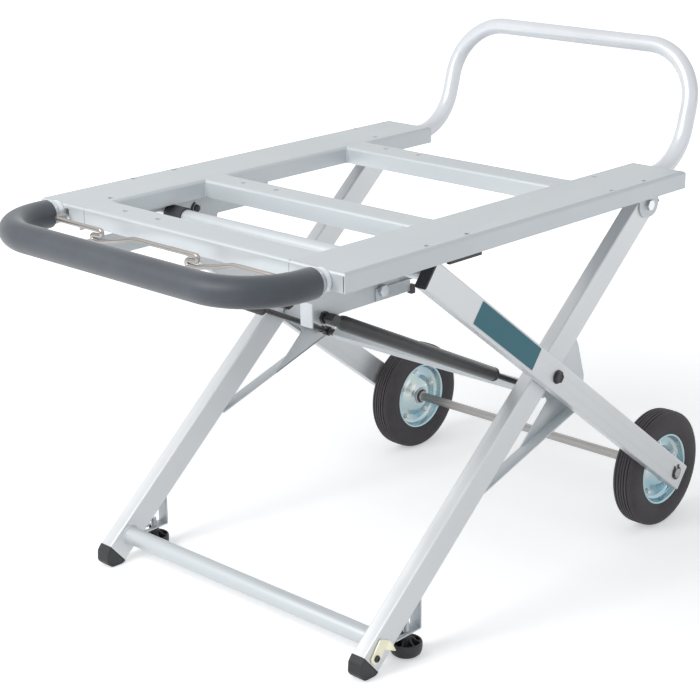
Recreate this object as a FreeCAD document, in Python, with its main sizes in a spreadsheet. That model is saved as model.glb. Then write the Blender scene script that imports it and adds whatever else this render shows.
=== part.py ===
import FreeCAD, Part

# Folding work table on wheels: a sheet metal top frame on scissor legs.
# The front legs hinge under the rear of the frame and stand on rounded feet.
# The wheel legs cross them, carry the axle, and slide along the frame's tracks when
# the table folds. Two gas springs push the legs open and a wire lever works the catches.
#
# Frame of reference: X runs from the front handle to the wheels, Y across, Z up.
# Each x below is counted from the front face of the top frame and is moved by
# middle_x, so that the origin is on the floor under the middle of the table.

import math
import os
import re

import Sketcher
from FreeCAD import Placement, Rotation, Vector

SIZES = {
    # scissor legs, wheels and the pivots that join them
    "wheel_radius": 101.6,
    "wheel_arm": 432.5,
    "wheel_leg_angle": 37.5,
    "top_arm": 338,
    "front_leg_angle": 40.7,
    "cross_x": 472,
    "leg_height": 45,
    "leg_corner": 3,
    "leg_wall": 2,
    "front_leg_inset": 50,
    "front_leg_thick": 25,
    "front_leg_top_spare": 22.3,
    "front_leg_lower": 528,
    "wheel_leg_inset": 23,
    "wheel_leg_thick": 20,
    "wheel_leg_top_spare": 8,
    "wheel_leg_end_spare": 25,
    "plug_flange": 3,
    "plug_depth": 14,
    # cross members of the legs
    "foot_tube_radius": 15,
    "foot_tube_from_end": 37.3,
    "square_tube": 16,
    "square_tube_wall": 2,
    "square_tube_u": 18.9,
    "square_tube_v": 106.5,
    "square_tube_inset": 92.5,
    "gusset_sheet": 2.5,
    "gusset_length": 336,
    "gusset_drop": 127.5,
    "gusset_rear": 110,
    "gusset_overlap": 14,
    "gusset_flange": 22,
    # top frame
    "frame_behind_hinge": 67.75,
    "frame_width": 648,
    "frame_depth": 28,
    "frame_sheet": 2,
    "frame_bend": 5,
    "hinge_drop": 46.7,
    "rail_width": 104.5,
    "front_rail_width": 58,
    "middle_rail_start": 246,
    "middle_rail_width": 50,
    "rear_rail_start": 574,
    "rear_rail_width": 53,
    "corner_slit": 1.5,
    "hole_radius": 4.5,
    "outer_row_inset": 11,
    "inner_row_inset": 85.5,
    "outer_row_start": 177,
    "outer_row_rear": 99,
    "outer_row_extra": 86,
    "inner_row_start": 68,
    "inner_row_rear": 128,
    "front_hole_in": 30,
    "middle_hole_in": 26,
    "rear_hole_in": 33,
    "bench_hole_near": 83,
    "bench_hole_pitch": 74,
    "strip_start": 212,
    "strip_length": 70,
    "strip_width": 6,
    "strip_drop": 4.5,
    # track plates under the side rails
    "track_inset": 87,
    "track_sheet": 2.5,
    "track_front": 4,
    "track_rear": 202,
    "track_lower": 34.75,
    "track_ear": 9,
    "track_flange": 20.5,
    "slide_pin_radius": 8,
    "slide_play": 0.7,
    "slide_tube_radius": 12.5,
    "slide_tube_inset": 93,
    "slide_bush_wall": 3,
    "slide_bush_length": 38,
    "track_bolt_x": 163,
    "track_bolt_drop": 28.5,
    "stop_front": 150,
    "stop_length": 72,
    "stop_height": 18,
    "stop_rise": 1.5,
    "stop_buffer": 8,
    "stop_buffer_height": 13,
    "bolt_radius": 5,
    "bolt_head_radius": 9,
    "bolt_head_height": 5,
    # hinge brackets of the front legs
    "hanger_sheet": 2.5,
    "hanger_length": 50,
    "hanger_room": 0.5,
    "hanger_below": 20,
    # handles
    "tube_radius": 14,
    "tube_wall": 1.5,
    "tube_inside_frame": 60,
    "front_handle_inset": 41,
    "front_handle_reach": 132,
    "front_handle_bend": 97,
    "grip_wall": 8,
    "grip_start": 10,
    "collar_wall": 4,
    "collar_length": 8,
    "rear_handle_inset": 68.1,
    "rear_handle_knee": 76.6,
    "rear_handle_reach": 129.7,
    "rear_handle_rise": 188.4,
    "rear_knee_bend": 90.5,
    "rear_top_bend": 97,
    # release lever and catches
    "lever_inset": 63.5,
    "lever_radius": 3.75,
    "lever_reach": 30,
    "lever_bend": 12,
    "lever_jog": 5.5,
    "lever_jog_start": 3,
    "lever_jog_bend": 8,
    "lever_dip": 14,
    "lever_dip_width": 78,
    "lever_dip_far": 119,
    "lever_dip_near": 92,
    "lever_swing": 4,
    "catch_thick": 5,
    "catch_pivot_x": 60,
    "catch_front": 48,
    "catch_height": 26,
    "catch_arm": 12,
    "catch_tooth": 10,
    "catch_gap": 0.5,
    "catch_bolt_radius": 4,
    # gas springs
    "gas_inset": 69,
    "gas_front_x": 46,
    "gas_front_drop": 41.3,
    "gas_body_radius": 11,
    "gas_body_wall": 1.5,
    "gas_body_end": 395,
    "gas_rod_radius": 5,
    "gas_rod_length": 340,
    "gas_piston_length": 12,
    "gas_guide": 16,
    "gas_eye_radius": 8,
    "gas_eye_width": 12,
    "gas_neck_radius": 6,
    "gas_stud_radius": 5,
    # wheels and axle
    "axle_radius": 8,
    "axle_spare": 4.5,
    "wheel_width": 43,
    "wheel_gap": 1.5,
    "rim_radius": 63,
    "rim_lip": 16.5,
    "rim_dish": 7,
    "rim_sheet": 3,
    "hub_radius": 20,
    "bearing_radius": 15,
    "tread_depth": 2.5,
    "clip_radius": 12,
    "clip_thick": 2,
    # cross bolt between the legs
    "cross_bolt_radius": 6,
    "cross_head_radius": 12,
    "cross_head_height": 6,
    # feet
    "cap_radius": 27,
    "cap_forward": 57,
    "cap_proud": 1.5,
    "cap_flat": 0.6,
    "foot_bracket_sheet": 3,
    "foot_bracket_height": 94,
    "foot_plate_height": 37,
    "foot_knob_x": 161,
    "foot_knob_radius": 25,
    "foot_knob_ribs": 10,
    "foot_knob_rib": 2.5,
    "foot_stem_radius": 5,
    "foot_stem_above": 14,
    "foot_play": 0.3,
    # transport hook on the near foot
    "hook_sheet": 2.5,
    "hook_from_end": 12,
    "hook_eye": 8,
    "hook_length": 52,
    "hook_screw_radius": 3,
    # gaps that parts share
    "running_gap": 0.05,
    "seat_gap": 0.3,
    "overrun": 5,
}

RULES = {
    "frame_half": "frame_width / 2",
    "front_leg_inside": "frame_half - front_leg_inset",
    "wheel_leg_inside": "frame_half - wheel_leg_inset",
    "square_tube_half": "frame_half - square_tube_inset",
    "track_y": "frame_half - track_inset",
    "slide_tube_half": "frame_half - slide_tube_inset",
    "front_handle_y": "frame_half - front_handle_inset",
    "rear_handle_y": "frame_half - rear_handle_inset",
    "lever_y": "frame_half - lever_inset",
    "gas_y": "frame_half - gas_inset",
    "frame_length": "hinge_x + frame_behind_hinge",
    "wheel_leg_upper": "slide_arm + wheel_leg_top_spare",
    "slot_z": "hinge_z - slide_play / 2",
    "pivot_z": "wheel_radius + wheel_arm * sin(wheel_leg_angle)",
    "hinge_x": "cross_x + top_arm * cos(front_leg_angle)",
    "hinge_z": "pivot_z + top_arm * sin(front_leg_angle)",
    "axle_x": "cross_x + wheel_arm * cos(wheel_leg_angle)",
    "slide_arm": "top_arm * sin(front_leg_angle) / sin(wheel_leg_angle)",
    "slide_x": "cross_x - slide_arm * cos(wheel_leg_angle)",
    "frame_top": "hinge_z + hinge_drop",
    "frame_bottom": "frame_top - frame_depth",
    "frame_under": "frame_top - frame_sheet",
    "rail_inside": "frame_width / 2 - rail_width",
    "tube_z": "frame_under - tube_radius",
    "grip_radius": "tube_radius + grip_wall",
    "lowest_front": "0 - front_handle_reach - grip_radius",
    "middle_x": "(frame_length + rear_handle_reach + tube_radius + lowest_front) / 2",
    "slot_half": "slide_pin_radius + slide_play",
    "track_bottom": "slot_z - slot_half - track_lower",
    "gas_front_z": "hinge_z - gas_front_drop",
    "wheel_leg_outside": "wheel_leg_inside + wheel_leg_thick",
    "front_leg_outside": "front_leg_inside + front_leg_thick",
    "wheel_y": "wheel_leg_inside - wheel_gap - wheel_width / 2",
    "gas_rear_x": "cross_x + square_tube_u * cos(front_leg_angle) + square_tube_v * sin(front_leg_angle)",
    "gas_rear_z": "pivot_z + square_tube_u * sin(front_leg_angle) - square_tube_v * cos(front_leg_angle)",
    "gas_run": "gas_rear_x - gas_front_x",
    "gas_fall": "gas_front_z - gas_rear_z",
    "gas_length": "sqrt(gas_run ^ 2 + gas_fall ^ 2)",
}

# Outline of the gusset as shares of its length along the leg and of its drop below its top
# edge: round the rear end and the lower edge to the front tip, then back along the gap.
GUSSET_SHARES = [
    (0.00, 0.00), (0.04, 0.44), (0.11, 0.86), (0.16, 1.00), (0.21, 1.00), (0.37, 0.83), (0.65, 0.50),
    (0.69, 0.42), (1.00, 0.09), (1.00, 0.00), (0.91, 0.00), (0.89, 0.11), (0.56, 0.44), (0.39, 0.44),
    (0.42, 0.11), (0.43, 0.00),
]
# The part of that outline, at the lower edge, that is folded outwards under the leg.
FOLDED_SHARES = GUSSET_SHARES[4:7]
# Outline of the hook as shares of its length, from the screw to its turned down tip.
HOOK_SHARES = [
    (-0.12, 0.10), (0.02, 0.46), (0.20, 0.52), (0.60, 0.16), (0.84, -0.10), (0.74, -0.20),
    (0.52, 0.02), (0.22, 0.30), (0.12, -0.06),
]
# Half section of the tyre as shares of its half width and of its height above the rim.
TYRE_SHARES = [(0.80, 0.00), (1.00, 0.30), (1.00, 0.66), (0.84, 0.94), (0.60, 1.00)]

ALONG = Vector(1, 0, 0)
ACROSS = Vector(0, 1, 0)
UP = Vector(0, 0, 1)
NEARLY = 1e-6

doc = FreeCAD.newDocument("work_table")
sheet = doc.addObject("Spreadsheet::Sheet", "sizes")
for row, (word, number) in enumerate(SIZES.items(), start=1):
    sheet.set(f"A{row}", word)
    sheet.set(f"B{row}", str(number))
    sheet.setAlias(f"B{row}", word)
doc.recompute()

nodes = {}


# Reading and binding sizes

def full(rule):
    """Write every name in a rule as a cell of the sheet."""
    def swap(match):
        word = match.group(0)
        if word in RULES:
            return "(" + full(RULES[word]) + ")"
        if word in SIZES:
            return "sizes." + word
        return word
    return re.sub(r"[a-z][a-z_]*", swap, rule)


def size(rule):
    """Work a rule out as a number."""
    return float(sheet.evalExpression(full(rule)))


def bind(item, field, rule):
    item.setExpression(field, full(rule))


def place(item, x, y, z):
    """Put an item at x from the frame's front face, y across and z above the floor."""
    bind(item, "Placement.Base.x", f"{x} - middle_x")
    bind(item, "Placement.Base.y", y)
    bind(item, "Placement.Base.z", z)


def keep(name, item):
    """Name a finished piece, which becomes a file of its own."""
    item.Label = name
    nodes[name] = item
    return item


# Simple solids

def box(name, start, extent):
    """A block from its least corner."""
    item = doc.addObject("Part::Box", name)
    for field, rule in zip(("Length", "Width", "Height"), extent):
        bind(item, field, rule)
    place(item, *start)
    return item


def rod(name, x, y, z, radius, length):
    """A cylinder across the table, from y towards +Y."""
    item = doc.addObject("Part::Cylinder", name)
    item.Placement = Placement(Vector(), Rotation(Vector(1, 0, 0), -90))
    bind(item, "Radius", radius)
    bind(item, "Height", length)
    place(item, x, y, z)
    return item


def hexagon(name, x, y, z, radius, length):
    """A hexagonal head or nut across the table, from y towards +Y."""
    item = doc.addObject("Part::Prism", name)
    item.Polygon = 6
    item.Placement = Placement(Vector(), Rotation(Vector(1, 0, 0), -90))
    bind(item, "Circumradius", radius)
    bind(item, "Height", length)
    place(item, x, y, z)
    return item


def cut(name, base, *tools):
    """Take tools away from a base."""
    item = doc.addObject("Part::Cut", name)
    item.Base = base
    item.Tool = tools[0] if len(tools) == 1 else fuse(name + "_tools", *tools)
    return item


def fuse(name, *shapes):
    item = doc.addObject("Part::MultiFuse", name)
    item.Shapes = list(shapes)
    return item


def group(name, *shapes):
    """Several separate solids that are one kind of piece."""
    item = doc.addObject("Part::Compound", name)
    item.Links = list(shapes)
    return item


def mirror(name, source):
    """The same piece on the near side."""
    item = doc.addObject("Part::Mirroring", name)
    item.Source = source
    item.Normal = Vector(0, 1, 0)
    return item


def both(name, source):
    """A pair of pieces, one on each side."""
    return group(name, source, mirror(name + "_near", source))


# Bodies made from sketches

def body(name, x="0", y="0", z="0", turn=None):
    """A body whose own axes start at x, y, z and may be turned about Y."""
    item = doc.addObject("PartDesign::Body", name)
    if turn:
        item.Placement = Placement(Vector(), Rotation(Vector(0, 1, 0), 1))
        bind(item, "Placement.Rotation.Angle", turn)
    place(item, x, y, z)
    return item


def sketch(owner, name, plane, offset="0"):
    item = owner.newObject("Sketcher::SketchObject", name)
    faces = [face for face in owner.Origin.OriginFeatures if face.Role == plane]
    item.AttachmentSupport = [(faces[0], "")]
    item.MapMode = "FlatFace"
    bind(item, "AttachmentOffset.Base.z", offset)
    return item


def pin_point(drawing, line, end, across, along):
    """Hold one point of a sketch at two named sizes."""
    first = drawing.ConstraintCount
    drawing.addConstraint([
        Sketcher.Constraint("DistanceX", -1, 1, line, end, size(across)),
        Sketcher.Constraint("DistanceY", -1, 1, line, end, size(along)),
    ])
    bind(drawing, f"Constraints[{first}]", across)
    bind(drawing, f"Constraints[{first + 1}]", along)


def outline(drawing, points):
    """A closed outline of straight lines through points given as rules."""
    spots = [Vector(size(across), size(along), 0) for across, along in points]
    following = spots[1:] + spots[:1]
    lines = drawing.addGeometry([Part.LineSegment(a, b) for a, b in zip(spots, following)])
    drawing.addConstraint([
        Sketcher.Constraint("Coincident", line, 2, after, 1)
        for line, after in zip(lines, list(lines[1:]) + [lines[0]])
    ])
    for line, (across, along) in zip(lines, points):
        pin_point(drawing, line, 1, across, along)


def rectangle(drawing, left, right, low, high):
    outline(drawing, [(left, low), (right, low), (right, high), (left, high)])


def circle(drawing, across, along, radius):
    centre = Vector(size(across), size(along), 0)
    line = drawing.addGeometry(Part.Circle(centre, UP, size(radius)))
    pin_point(drawing, line, 3, across, along)
    first = drawing.ConstraintCount
    drawing.addConstraint(Sketcher.Constraint("Radius", line, size(radius)))
    bind(drawing, f"Constraints[{first}]", radius)


def pad(owner, drawing, length, middle=False, back=False):
    item = owner.newObject("PartDesign::Pad", drawing.Name + "_pad")
    item.Profile = drawing
    bind(item, "Length", length)
    item.SideType = "Symmetric" if middle else "One side"
    item.Reversed = back
    doc.recompute()
    return item


def pocket(owner, drawing, length=None):
    """Cut a sketch out of a body, both ways, and see that it took something away."""
    before = owner.Shape.Volume
    item = owner.newObject("PartDesign::Pocket", drawing.Name + "_pocket")
    item.Profile = drawing
    item.SideType = "Symmetric"
    if length:
        bind(item, "Length", length)
    else:
        item.Type = "ThroughAll"
    doc.recompute()
    if not owner.Shape.Volume < before:
        raise RuntimeError(f"{item.Name} cuts nothing")
    return item


def revolve(owner, drawing):
    """Turn a section about the first axis of its sketch."""
    item = owner.newObject("PartDesign::Revolution", drawing.Name + "_turned")
    item.Profile = drawing
    item.ReferenceAxis = (drawing, ["H_Axis"])
    doc.recompute()
    return item


def round_edges(owner, name, radius, wanted):
    base = owner.Tip
    edges = [f"Edge{i}" for i, edge in enumerate(base.Shape.Edges, start=1) if wanted(edge)]
    item = owner.newObject("PartDesign::Fillet", name)
    item.Base = (base, edges)
    bind(item, "Radius", radius)
    doc.recompute()
    return item


def hollow(owner, name, left, right, low, high, wanted):
    """Fold a block into sheet: clear its inside from below and round the inner bends."""
    drawing = sketch(owner, name, "XY_Plane", "frame_bottom")
    rectangle(drawing, left, right, low, high)
    pocket(owner, drawing, "2 * (frame_depth - frame_sheet)")
    inner_top = size("frame_under")
    return round_edges(owner, name + "_bends", "frame_bend - frame_sheet",
                       lambda edge: flat_at(edge, inner_top) and wanted(edge))


def flat_at(item, height):
    """True for an edge or face that lies level at a height."""
    return abs(item.BoundBox.ZMin - height) < NEARLY and abs(item.BoundBox.ZMax - height) < NEARLY


def is_straight(edge):
    return isinstance(edge.Curve, Part.Line)


def runs_along(edge, axis):
    """True for a straight edge parallel to an axis."""
    return isinstance(edge.Curve, Part.Line) and edge.Curve.Direction.cross(axis).Length < NEARLY


def bent_bar(name, points, bends, radius, bore=None):
    """A round bar or tube: straight runs pushed along and bends turned about their centres."""
    spots = [Vector(size(x) - size("middle_x"), size(y), size(z)) for x, y, z in points]
    radii = [size(rule) for rule in bends]

    def disc(centre, heading, rule):
        return Part.Face(Part.Wire(Part.Circle(centre, heading, size(rule)).toShape()))

    def ring(centre, heading):
        outer = disc(centre, heading, radius)
        return outer.cut(disc(centre, heading, bore)).Faces[0] if bore else outer

    pieces = []
    start = spots[0]
    for before, corner, after, bend in zip(spots, spots[1:], spots[2:], radii):
        into = (before - corner).normalize()
        out = (after - corner).normalize()
        half = into.getAngle(out) / 2
        first = corner + into * (bend / math.tan(half))
        centre = corner + (into + out).normalize() * (bend / math.sin(half))
        heading = into * -1
        pieces.append(ring(start, heading).extrude(first - start))
        axis = heading.cross(out).normalize()
        pieces.append(ring(first, heading).revolve(centre, axis, 180 - math.degrees(2 * half)))
        start = corner + out * (bend / math.tan(half))
    pieces.append(ring(start, (spots[-1] - start).normalize()).extrude(spots[-1] - start))
    item = doc.addObject("Part::Feature", name)
    item.Shape = pieces[0].multiFuse(pieces[1:]).Solids[0]
    return item


# Top frame

def top_holes(owner, name, places):
    """Plain holes through the top sheet."""
    drawing = sketch(owner, name, "XY_Plane", "frame_top")
    for x, y in places:
        circle(drawing, x, y, "hole_radius")
    return pocket(owner, drawing, "4 * frame_sheet")


def end_cut(owner, name, x, shape, *sizes):
    """Cut a round or square shape through a rail's end face."""
    drawing = sketch(owner, name, "YZ_Plane", x)
    shape(drawing, *sizes)
    return pocket(owner, drawing, "4 * frame_sheet")


def side_rail(name, side, holes):
    """A pan folded from sheet: top, apron, inner lip and two end faces, open below."""
    rail = body(name)
    inside = f"{side} * rail_inside"
    outside = f"{side} * frame_width / 2"
    base = sketch(rail, name + "_base", "XY_Plane", "frame_bottom")
    rectangle(base, "0", "frame_length", inside, outside)
    pad(rail, base, "frame_depth")
    top = size("frame_top")
    round_edges(rail, name + "_bends", "frame_bend", lambda edge: flat_at(edge, top))
    hollow(rail, name + "_inside", "frame_sheet", "frame_length - frame_sheet",
           f"{side} * (rail_inside + frame_sheet)", f"{side} * (frame_width / 2 - frame_sheet)",
           is_straight)
    top_holes(rail, name + "_holes", [(x, f"{side} * ({y})") for x, y in holes])
    end_cut(rail, name + "_handle_hole", "0", circle,
            f"{side} * front_handle_y", "tube_z", "tube_radius + seat_gap")
    end_cut(rail, name + "_rear_handle_hole", "frame_length", circle,
            f"{side} * rear_handle_y", "tube_z", "tube_radius + seat_gap")
    end_cut(rail, name + "_lever_slot", "0", rectangle,
            f"{side} * (lever_y - lever_radius - catch_gap)",
            f"{side} * (lever_y + lever_radius + catch_gap)",
            "tube_z - lever_slot_half", "tube_z + lever_slot_half")
    for end, x in (("front", "0"), ("rear", "frame_length")):
        slit = sketch(rail, f"{name}_{end}_slit", "YZ_Plane", x)
        rectangle(slit, f"{side} * (frame_width / 2 - frame_sheet - corner_slit)",
                  f"{side} * (frame_width / 2 - frame_sheet)", "frame_bottom - overrun",
                  "frame_top - 2 * frame_bend")
        pocket(rail, slit, "4 * frame_sheet")
    return keep(name, rail)


RULES["outer_row"] = "frame_width / 2 - outer_row_inset"
RULES["inner_row"] = "frame_width / 2 - inner_row_inset"
RULES["outer_row_end"] = "frame_length - outer_row_rear"
RULES["inner_row_end"] = "frame_length - inner_row_rear"
RULES["lever_slot_half"] = "lever_radius + (catch_pivot_x) * tan(lever_swing) + catch_gap"

shared_holes = [
    ("outer_row_start", "outer_row"), ("outer_row_end", "outer_row"),
    ("outer_row_start + outer_row_extra", "outer_row"), ("inner_row_end", "inner_row"),
]
side_rail("side_rail_left", "1", shared_holes + [("inner_row_start", "inner_row")])
side_rail("side_rail_right", "-1", shared_holes + [("outer_row_end - outer_row_extra", "outer_row")])


def cross_rail(name, start, width, hole_in):
    """A channel between the side rails, with two bench holes on the far half."""
    rail = body(name)
    base = sketch(rail, name + "_base", "XY_Plane", "frame_bottom")
    rectangle(base, start, f"{start} + {width}", "0 - rail_inside", "rail_inside")
    pad(rail, base, "frame_depth")
    top = size("frame_top")
    round_edges(rail, name + "_bends", "frame_bend",
                lambda edge: flat_at(edge, top) and runs_along(edge, ACROSS))
    hollow(rail, name + "_inside", f"{start} + frame_sheet", f"{start} + {width} - frame_sheet",
           "0 - rail_inside - overrun", "rail_inside + overrun", lambda edge: runs_along(edge, ACROSS))
    top_holes(rail, name + "_holes", [
        (f"{start} + {hole_in}", "bench_hole_near"),
        (f"{start} + {hole_in}", "bench_hole_near + bench_hole_pitch"),
    ])
    return keep(name, rail)


cross_rail("front_cross_rail", "0", "front_rail_width", "front_hole_in")
cross_rail("middle_cross_rail", "middle_rail_start", "middle_rail_width", "middle_hole_in")
cross_rail("rear_cross_rail", "rear_rail_start", "rear_rail_width", "rear_hole_in")

strip = box("rail_strip", ("strip_start", "frame_width / 2 - strip_width", "frame_bottom - strip_drop"),
            ("strip_length", "strip_width", "strip_drop"))
keep("rail_strips", both("rail_strips", strip))


# Tracks that the wheel legs slide along

def track_plate():
    """A plate hung under the side rail, slotted from the front, with an ear for the gas spring."""
    plate = body("track_plate_left")
    drawing = sketch(plate, "track_outline", "XZ_Plane", "0 - track_y")
    outline(drawing, [
        ("track_front", "frame_under"),
        ("track_front", "track_bottom"),
        ("gas_front_x - 2 * track_ear", "track_bottom"),
        ("gas_front_x - track_ear / 2", "track_bottom - track_ear"),
        ("gas_front_x + track_ear / 2", "track_bottom - track_ear"),
        ("gas_front_x + 2 * track_ear", "track_bottom"),
        ("track_rear", "track_bottom"),
        ("track_rear", "frame_under"),
    ])
    pad(plate, drawing, "track_sheet", middle=True)
    slot = sketch(plate, "slide_slot", "XZ_Plane", "0 - track_y")
    rectangle(slot, "track_front - overrun", "slide_x", "slot_z - slot_half", "slot_z + slot_half")
    pocket(plate, slot)
    slot_end = sketch(plate, "slide_slot_end", "XZ_Plane", "0 - track_y")
    circle(slot_end, "slide_x", "slot_z", "slot_half")
    pocket(plate, slot_end)
    drilled = sketch(plate, "track_bolt_holes", "XZ_Plane", "0 - track_y")
    circle(drilled, "track_bolt_x", "hinge_z - track_bolt_drop", "bolt_radius")
    circle(drilled, "gas_front_x", "gas_front_z", "gas_stud_radius")
    circle(drilled, "catch_pivot_x", "catch_pivot_z", "catch_bolt_radius")
    pocket(plate, drilled)
    flange = sketch(plate, "track_front_flange", "XY_Plane", "track_bottom")
    rectangle(flange, "track_front", "track_front + track_sheet", "track_y", "track_y + track_flange")
    pad(plate, flange, "track_lower")
    return plate


RULES["catch_pivot_z"] = "tube_z - catch_arm"
far_plate = keep("track_plate_left", track_plate())
keep("track_plate_right", mirror("track_plate_right", far_plate))


def cross_bolt(name, x, z, radius, inner, outer, head_radius, head_height):
    """A bolt across one side of the table: hexagon head inside, nut outside."""
    shank = rod(name + "_shank", x, inner, z, radius, f"{outer} - ({inner})")
    head = hexagon(name + "_head", x, f"{inner} - {head_height}", z, head_radius, head_height)
    nut = hexagon(name + "_nut", x, outer, z, head_radius, head_height)
    return fuse(name, shank, head, nut)


RULES["track_in"] = "track_y - track_sheet / 2"
RULES["track_out"] = "track_y + track_sheet / 2"
RULES["stop_out"] = "track_out + track_sheet"


def track_stop():
    """A strip bolted beside the slot's rear end, which carries a rubber buffer."""
    strip = body("track_stop")
    drawing = sketch(strip, "stop_outline", "XZ_Plane", "0 - (track_out + stop_out) / 2")
    rectangle(drawing, "stop_front", "stop_front + stop_length",
              "track_bottom + stop_rise", "track_bottom + stop_rise + stop_height")
    pad(strip, drawing, "track_sheet", middle=True)
    bore = sketch(strip, "stop_bore", "XZ_Plane", "0 - (track_out + stop_out) / 2")
    circle(bore, "track_bolt_x", "hinge_z - track_bolt_drop", "bolt_radius")
    pocket(strip, bore)
    return strip


keep("track_stops", both("track_stops", track_stop()))
buffer = box("stop_buffer", ("stop_front + stop_length", "(track_out + stop_out - stop_buffer) / 2",
                             "track_bottom + stop_rise - stop_buffer_height / 3"),
             ("stop_buffer", "stop_buffer", "stop_buffer_height"))
keep("stop_buffers", both("stop_buffers", buffer))
track_bolt = cross_bolt("track_bolt", "track_bolt_x", "hinge_z - track_bolt_drop", "bolt_radius",
                        "track_in", "stop_out", "bolt_head_radius", "bolt_head_height")
keep("track_bolts", both("track_bolts", track_bolt))


# Hinge brackets and bolts at the top of the front legs

RULES["hanger_in"] = "front_leg_inside - hanger_room"
RULES["hanger_out"] = "front_leg_outside + hanger_room"


def rear_hanger():
    """A bracket with two cheeks, one on each side of the leg."""
    hanger = body("rear_hanger_left")
    drawing = sketch(hanger, "hanger_outline", "XZ_Plane", "0 - (hanger_in + hanger_out) / 2")
    rectangle(drawing, "hinge_x - hanger_length / 2", "hinge_x + hanger_length / 2",
              "hinge_z - hanger_below", "frame_under")
    pad(hanger, drawing, "hanger_out - hanger_in + 2 * hanger_sheet", middle=True)
    bottom = size("hinge_z - hanger_below")
    round_edges(hanger, "hanger_corners", "hanger_below",
                lambda edge: abs(edge.BoundBox.ZMax - bottom) < NEARLY and runs_along(edge, ACROSS))
    gap = sketch(hanger, "hanger_gap", "YZ_Plane", "hinge_x")
    rectangle(gap, "hanger_in", "hanger_out",
              "hinge_z - hanger_below - overrun", "frame_under - hanger_sheet")
    pocket(hanger, gap)
    bore = sketch(hanger, "hanger_bore", "XZ_Plane", "0")
    circle(bore, "hinge_x", "hinge_z", "bolt_radius")
    pocket(hanger, bore)
    return hanger


far_hanger = keep("rear_hanger_left", rear_hanger())
keep("rear_hanger_right", mirror("rear_hanger_right", far_hanger))
hinge_bolt = cross_bolt("hinge_bolt", "hinge_x", "hinge_z", "bolt_radius", "hanger_in - hanger_sheet",
                        "hanger_out + hanger_sheet", "bolt_head_radius", "bolt_head_height")
keep("hinge_bolts", both("hinge_bolts", hinge_bolt))


# Handles

front_path = [
    ("tube_inside_frame", "front_handle_y", "tube_z"),
    ("0 - front_handle_reach", "front_handle_y", "tube_z"),
    ("0 - front_handle_reach", "0 - front_handle_y", "tube_z"),
    ("tube_inside_frame", "0 - front_handle_y", "tube_z"),
]
grip_path = [
    ("0 - grip_start", *front_path[0][1:]), *front_path[1:3], ("0 - grip_start", *front_path[3][1:]),
]
bend_pair = ["front_handle_bend", "front_handle_bend"]
keep("front_handle_tube", bent_bar("front_handle_tube", front_path, bend_pair,
                                   "tube_radius", "tube_radius - tube_wall"))
keep("foam_grip", bent_bar("foam_grip", grip_path, bend_pair, "grip_radius", "tube_radius"))


def collar():
    """A plain ring between the foam grip and the frame."""
    ring = body("handle_collar", "0 - (grip_start + collar_length) / 2", "front_handle_y", "tube_z")
    drawing = sketch(ring, "collar_section", "YZ_Plane")
    circle(drawing, "0", "0", "tube_radius + collar_wall")
    circle(drawing, "0", "0", "tube_radius")
    pad(ring, drawing, "collar_length")
    return ring


keep("handle_collars", both("handle_collars", collar()))

rear_path = [
    ("frame_length - tube_inside_frame", "rear_handle_y", "tube_z"),
    ("frame_length + rear_handle_knee", "rear_handle_y", "tube_z"),
    ("frame_length + rear_handle_reach", "rear_handle_y", "tube_z + rear_handle_rise"),
]
rear_path += [(x, f"0 - {y}", z) for x, y, z in reversed(rear_path)]
keep("rear_handle_tube", bent_bar("rear_handle_tube", rear_path,
                                  ["rear_knee_bend", "rear_top_bend", "rear_top_bend", "rear_knee_bend"],
                                  "tube_radius", "tube_radius - tube_wall"))


# Front legs, their cross members and feet

def leg_tube(name, turn, start, length, inside, thick):
    """A rectangular tube along its own X, from the cross bolt's axis, with rounded corners."""
    leg = body(name, "cross_x", "0", "pivot_z", turn)
    section = sketch(leg, name + "_section", "YZ_Plane", start)
    rectangle(section, inside, f"{inside} + {thick}", "0 - leg_height / 2", "leg_height / 2")
    pad(leg, section, length)
    round_edges(leg, name + "_corners", "leg_corner", lambda edge: runs_along(edge, ALONG))
    bore = sketch(leg, name + "_bore", "YZ_Plane", start)
    rectangle(bore, f"{inside} + leg_wall", f"{inside} + {thick} - leg_wall",
              "leg_wall - leg_height / 2", "leg_height / 2 - leg_wall")
    pocket(leg, bore)
    return leg


def cross_holes(leg, name, holes):
    """Holes right across a leg, at places along it."""
    drawing = sketch(leg, name, "XZ_Plane", "0")
    for along, radius in holes:
        circle(drawing, along, "0", radius)
    pocket(leg, drawing)


RULES["front_leg_upper"] = "top_arm + front_leg_top_spare"
front_leg = leg_tube("front_leg_left", "0 - front_leg_angle", "0 - front_leg_lower",
                     "front_leg_lower + front_leg_upper", "front_leg_inside", "front_leg_thick")
cross_holes(front_leg, "front_leg_holes", [
    ("0", "cross_bolt_radius + running_gap"), ("top_arm", "bolt_radius + running_gap"),
])
keep("front_leg_left", front_leg)
keep("front_leg_right", mirror("front_leg_right", front_leg))


def end_plug(name, turn, along, inward, inside, thick):
    """A plug pushed into a leg's end: a flange and a stem that fills the bore."""
    plug = body(name, "cross_x", "0", "pivot_z", turn)
    flange = sketch(plug, name + "_flange", "YZ_Plane", along)
    rectangle(flange, inside, f"{inside} + {thick}", "0 - leg_height / 2", "leg_height / 2")
    pad(plug, flange, "plug_flange", back=inward)
    round_edges(plug, name + "_corners", "leg_corner", lambda edge: runs_along(edge, ALONG))
    stem = sketch(plug, name + "_stem", "YZ_Plane", along)
    rectangle(stem, f"{inside} + leg_wall", f"{inside} + {thick} - leg_wall",
              "leg_wall - leg_height / 2", "leg_height / 2 - leg_wall")
    pad(plug, stem, "plug_depth", back=not inward)
    return plug


front_plug = end_plug("front_leg_plug", "0 - front_leg_angle", "front_leg_upper", False,
                      "front_leg_inside", "front_leg_thick")
keep("front_leg_plugs", both("front_leg_plugs", front_plug))

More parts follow.
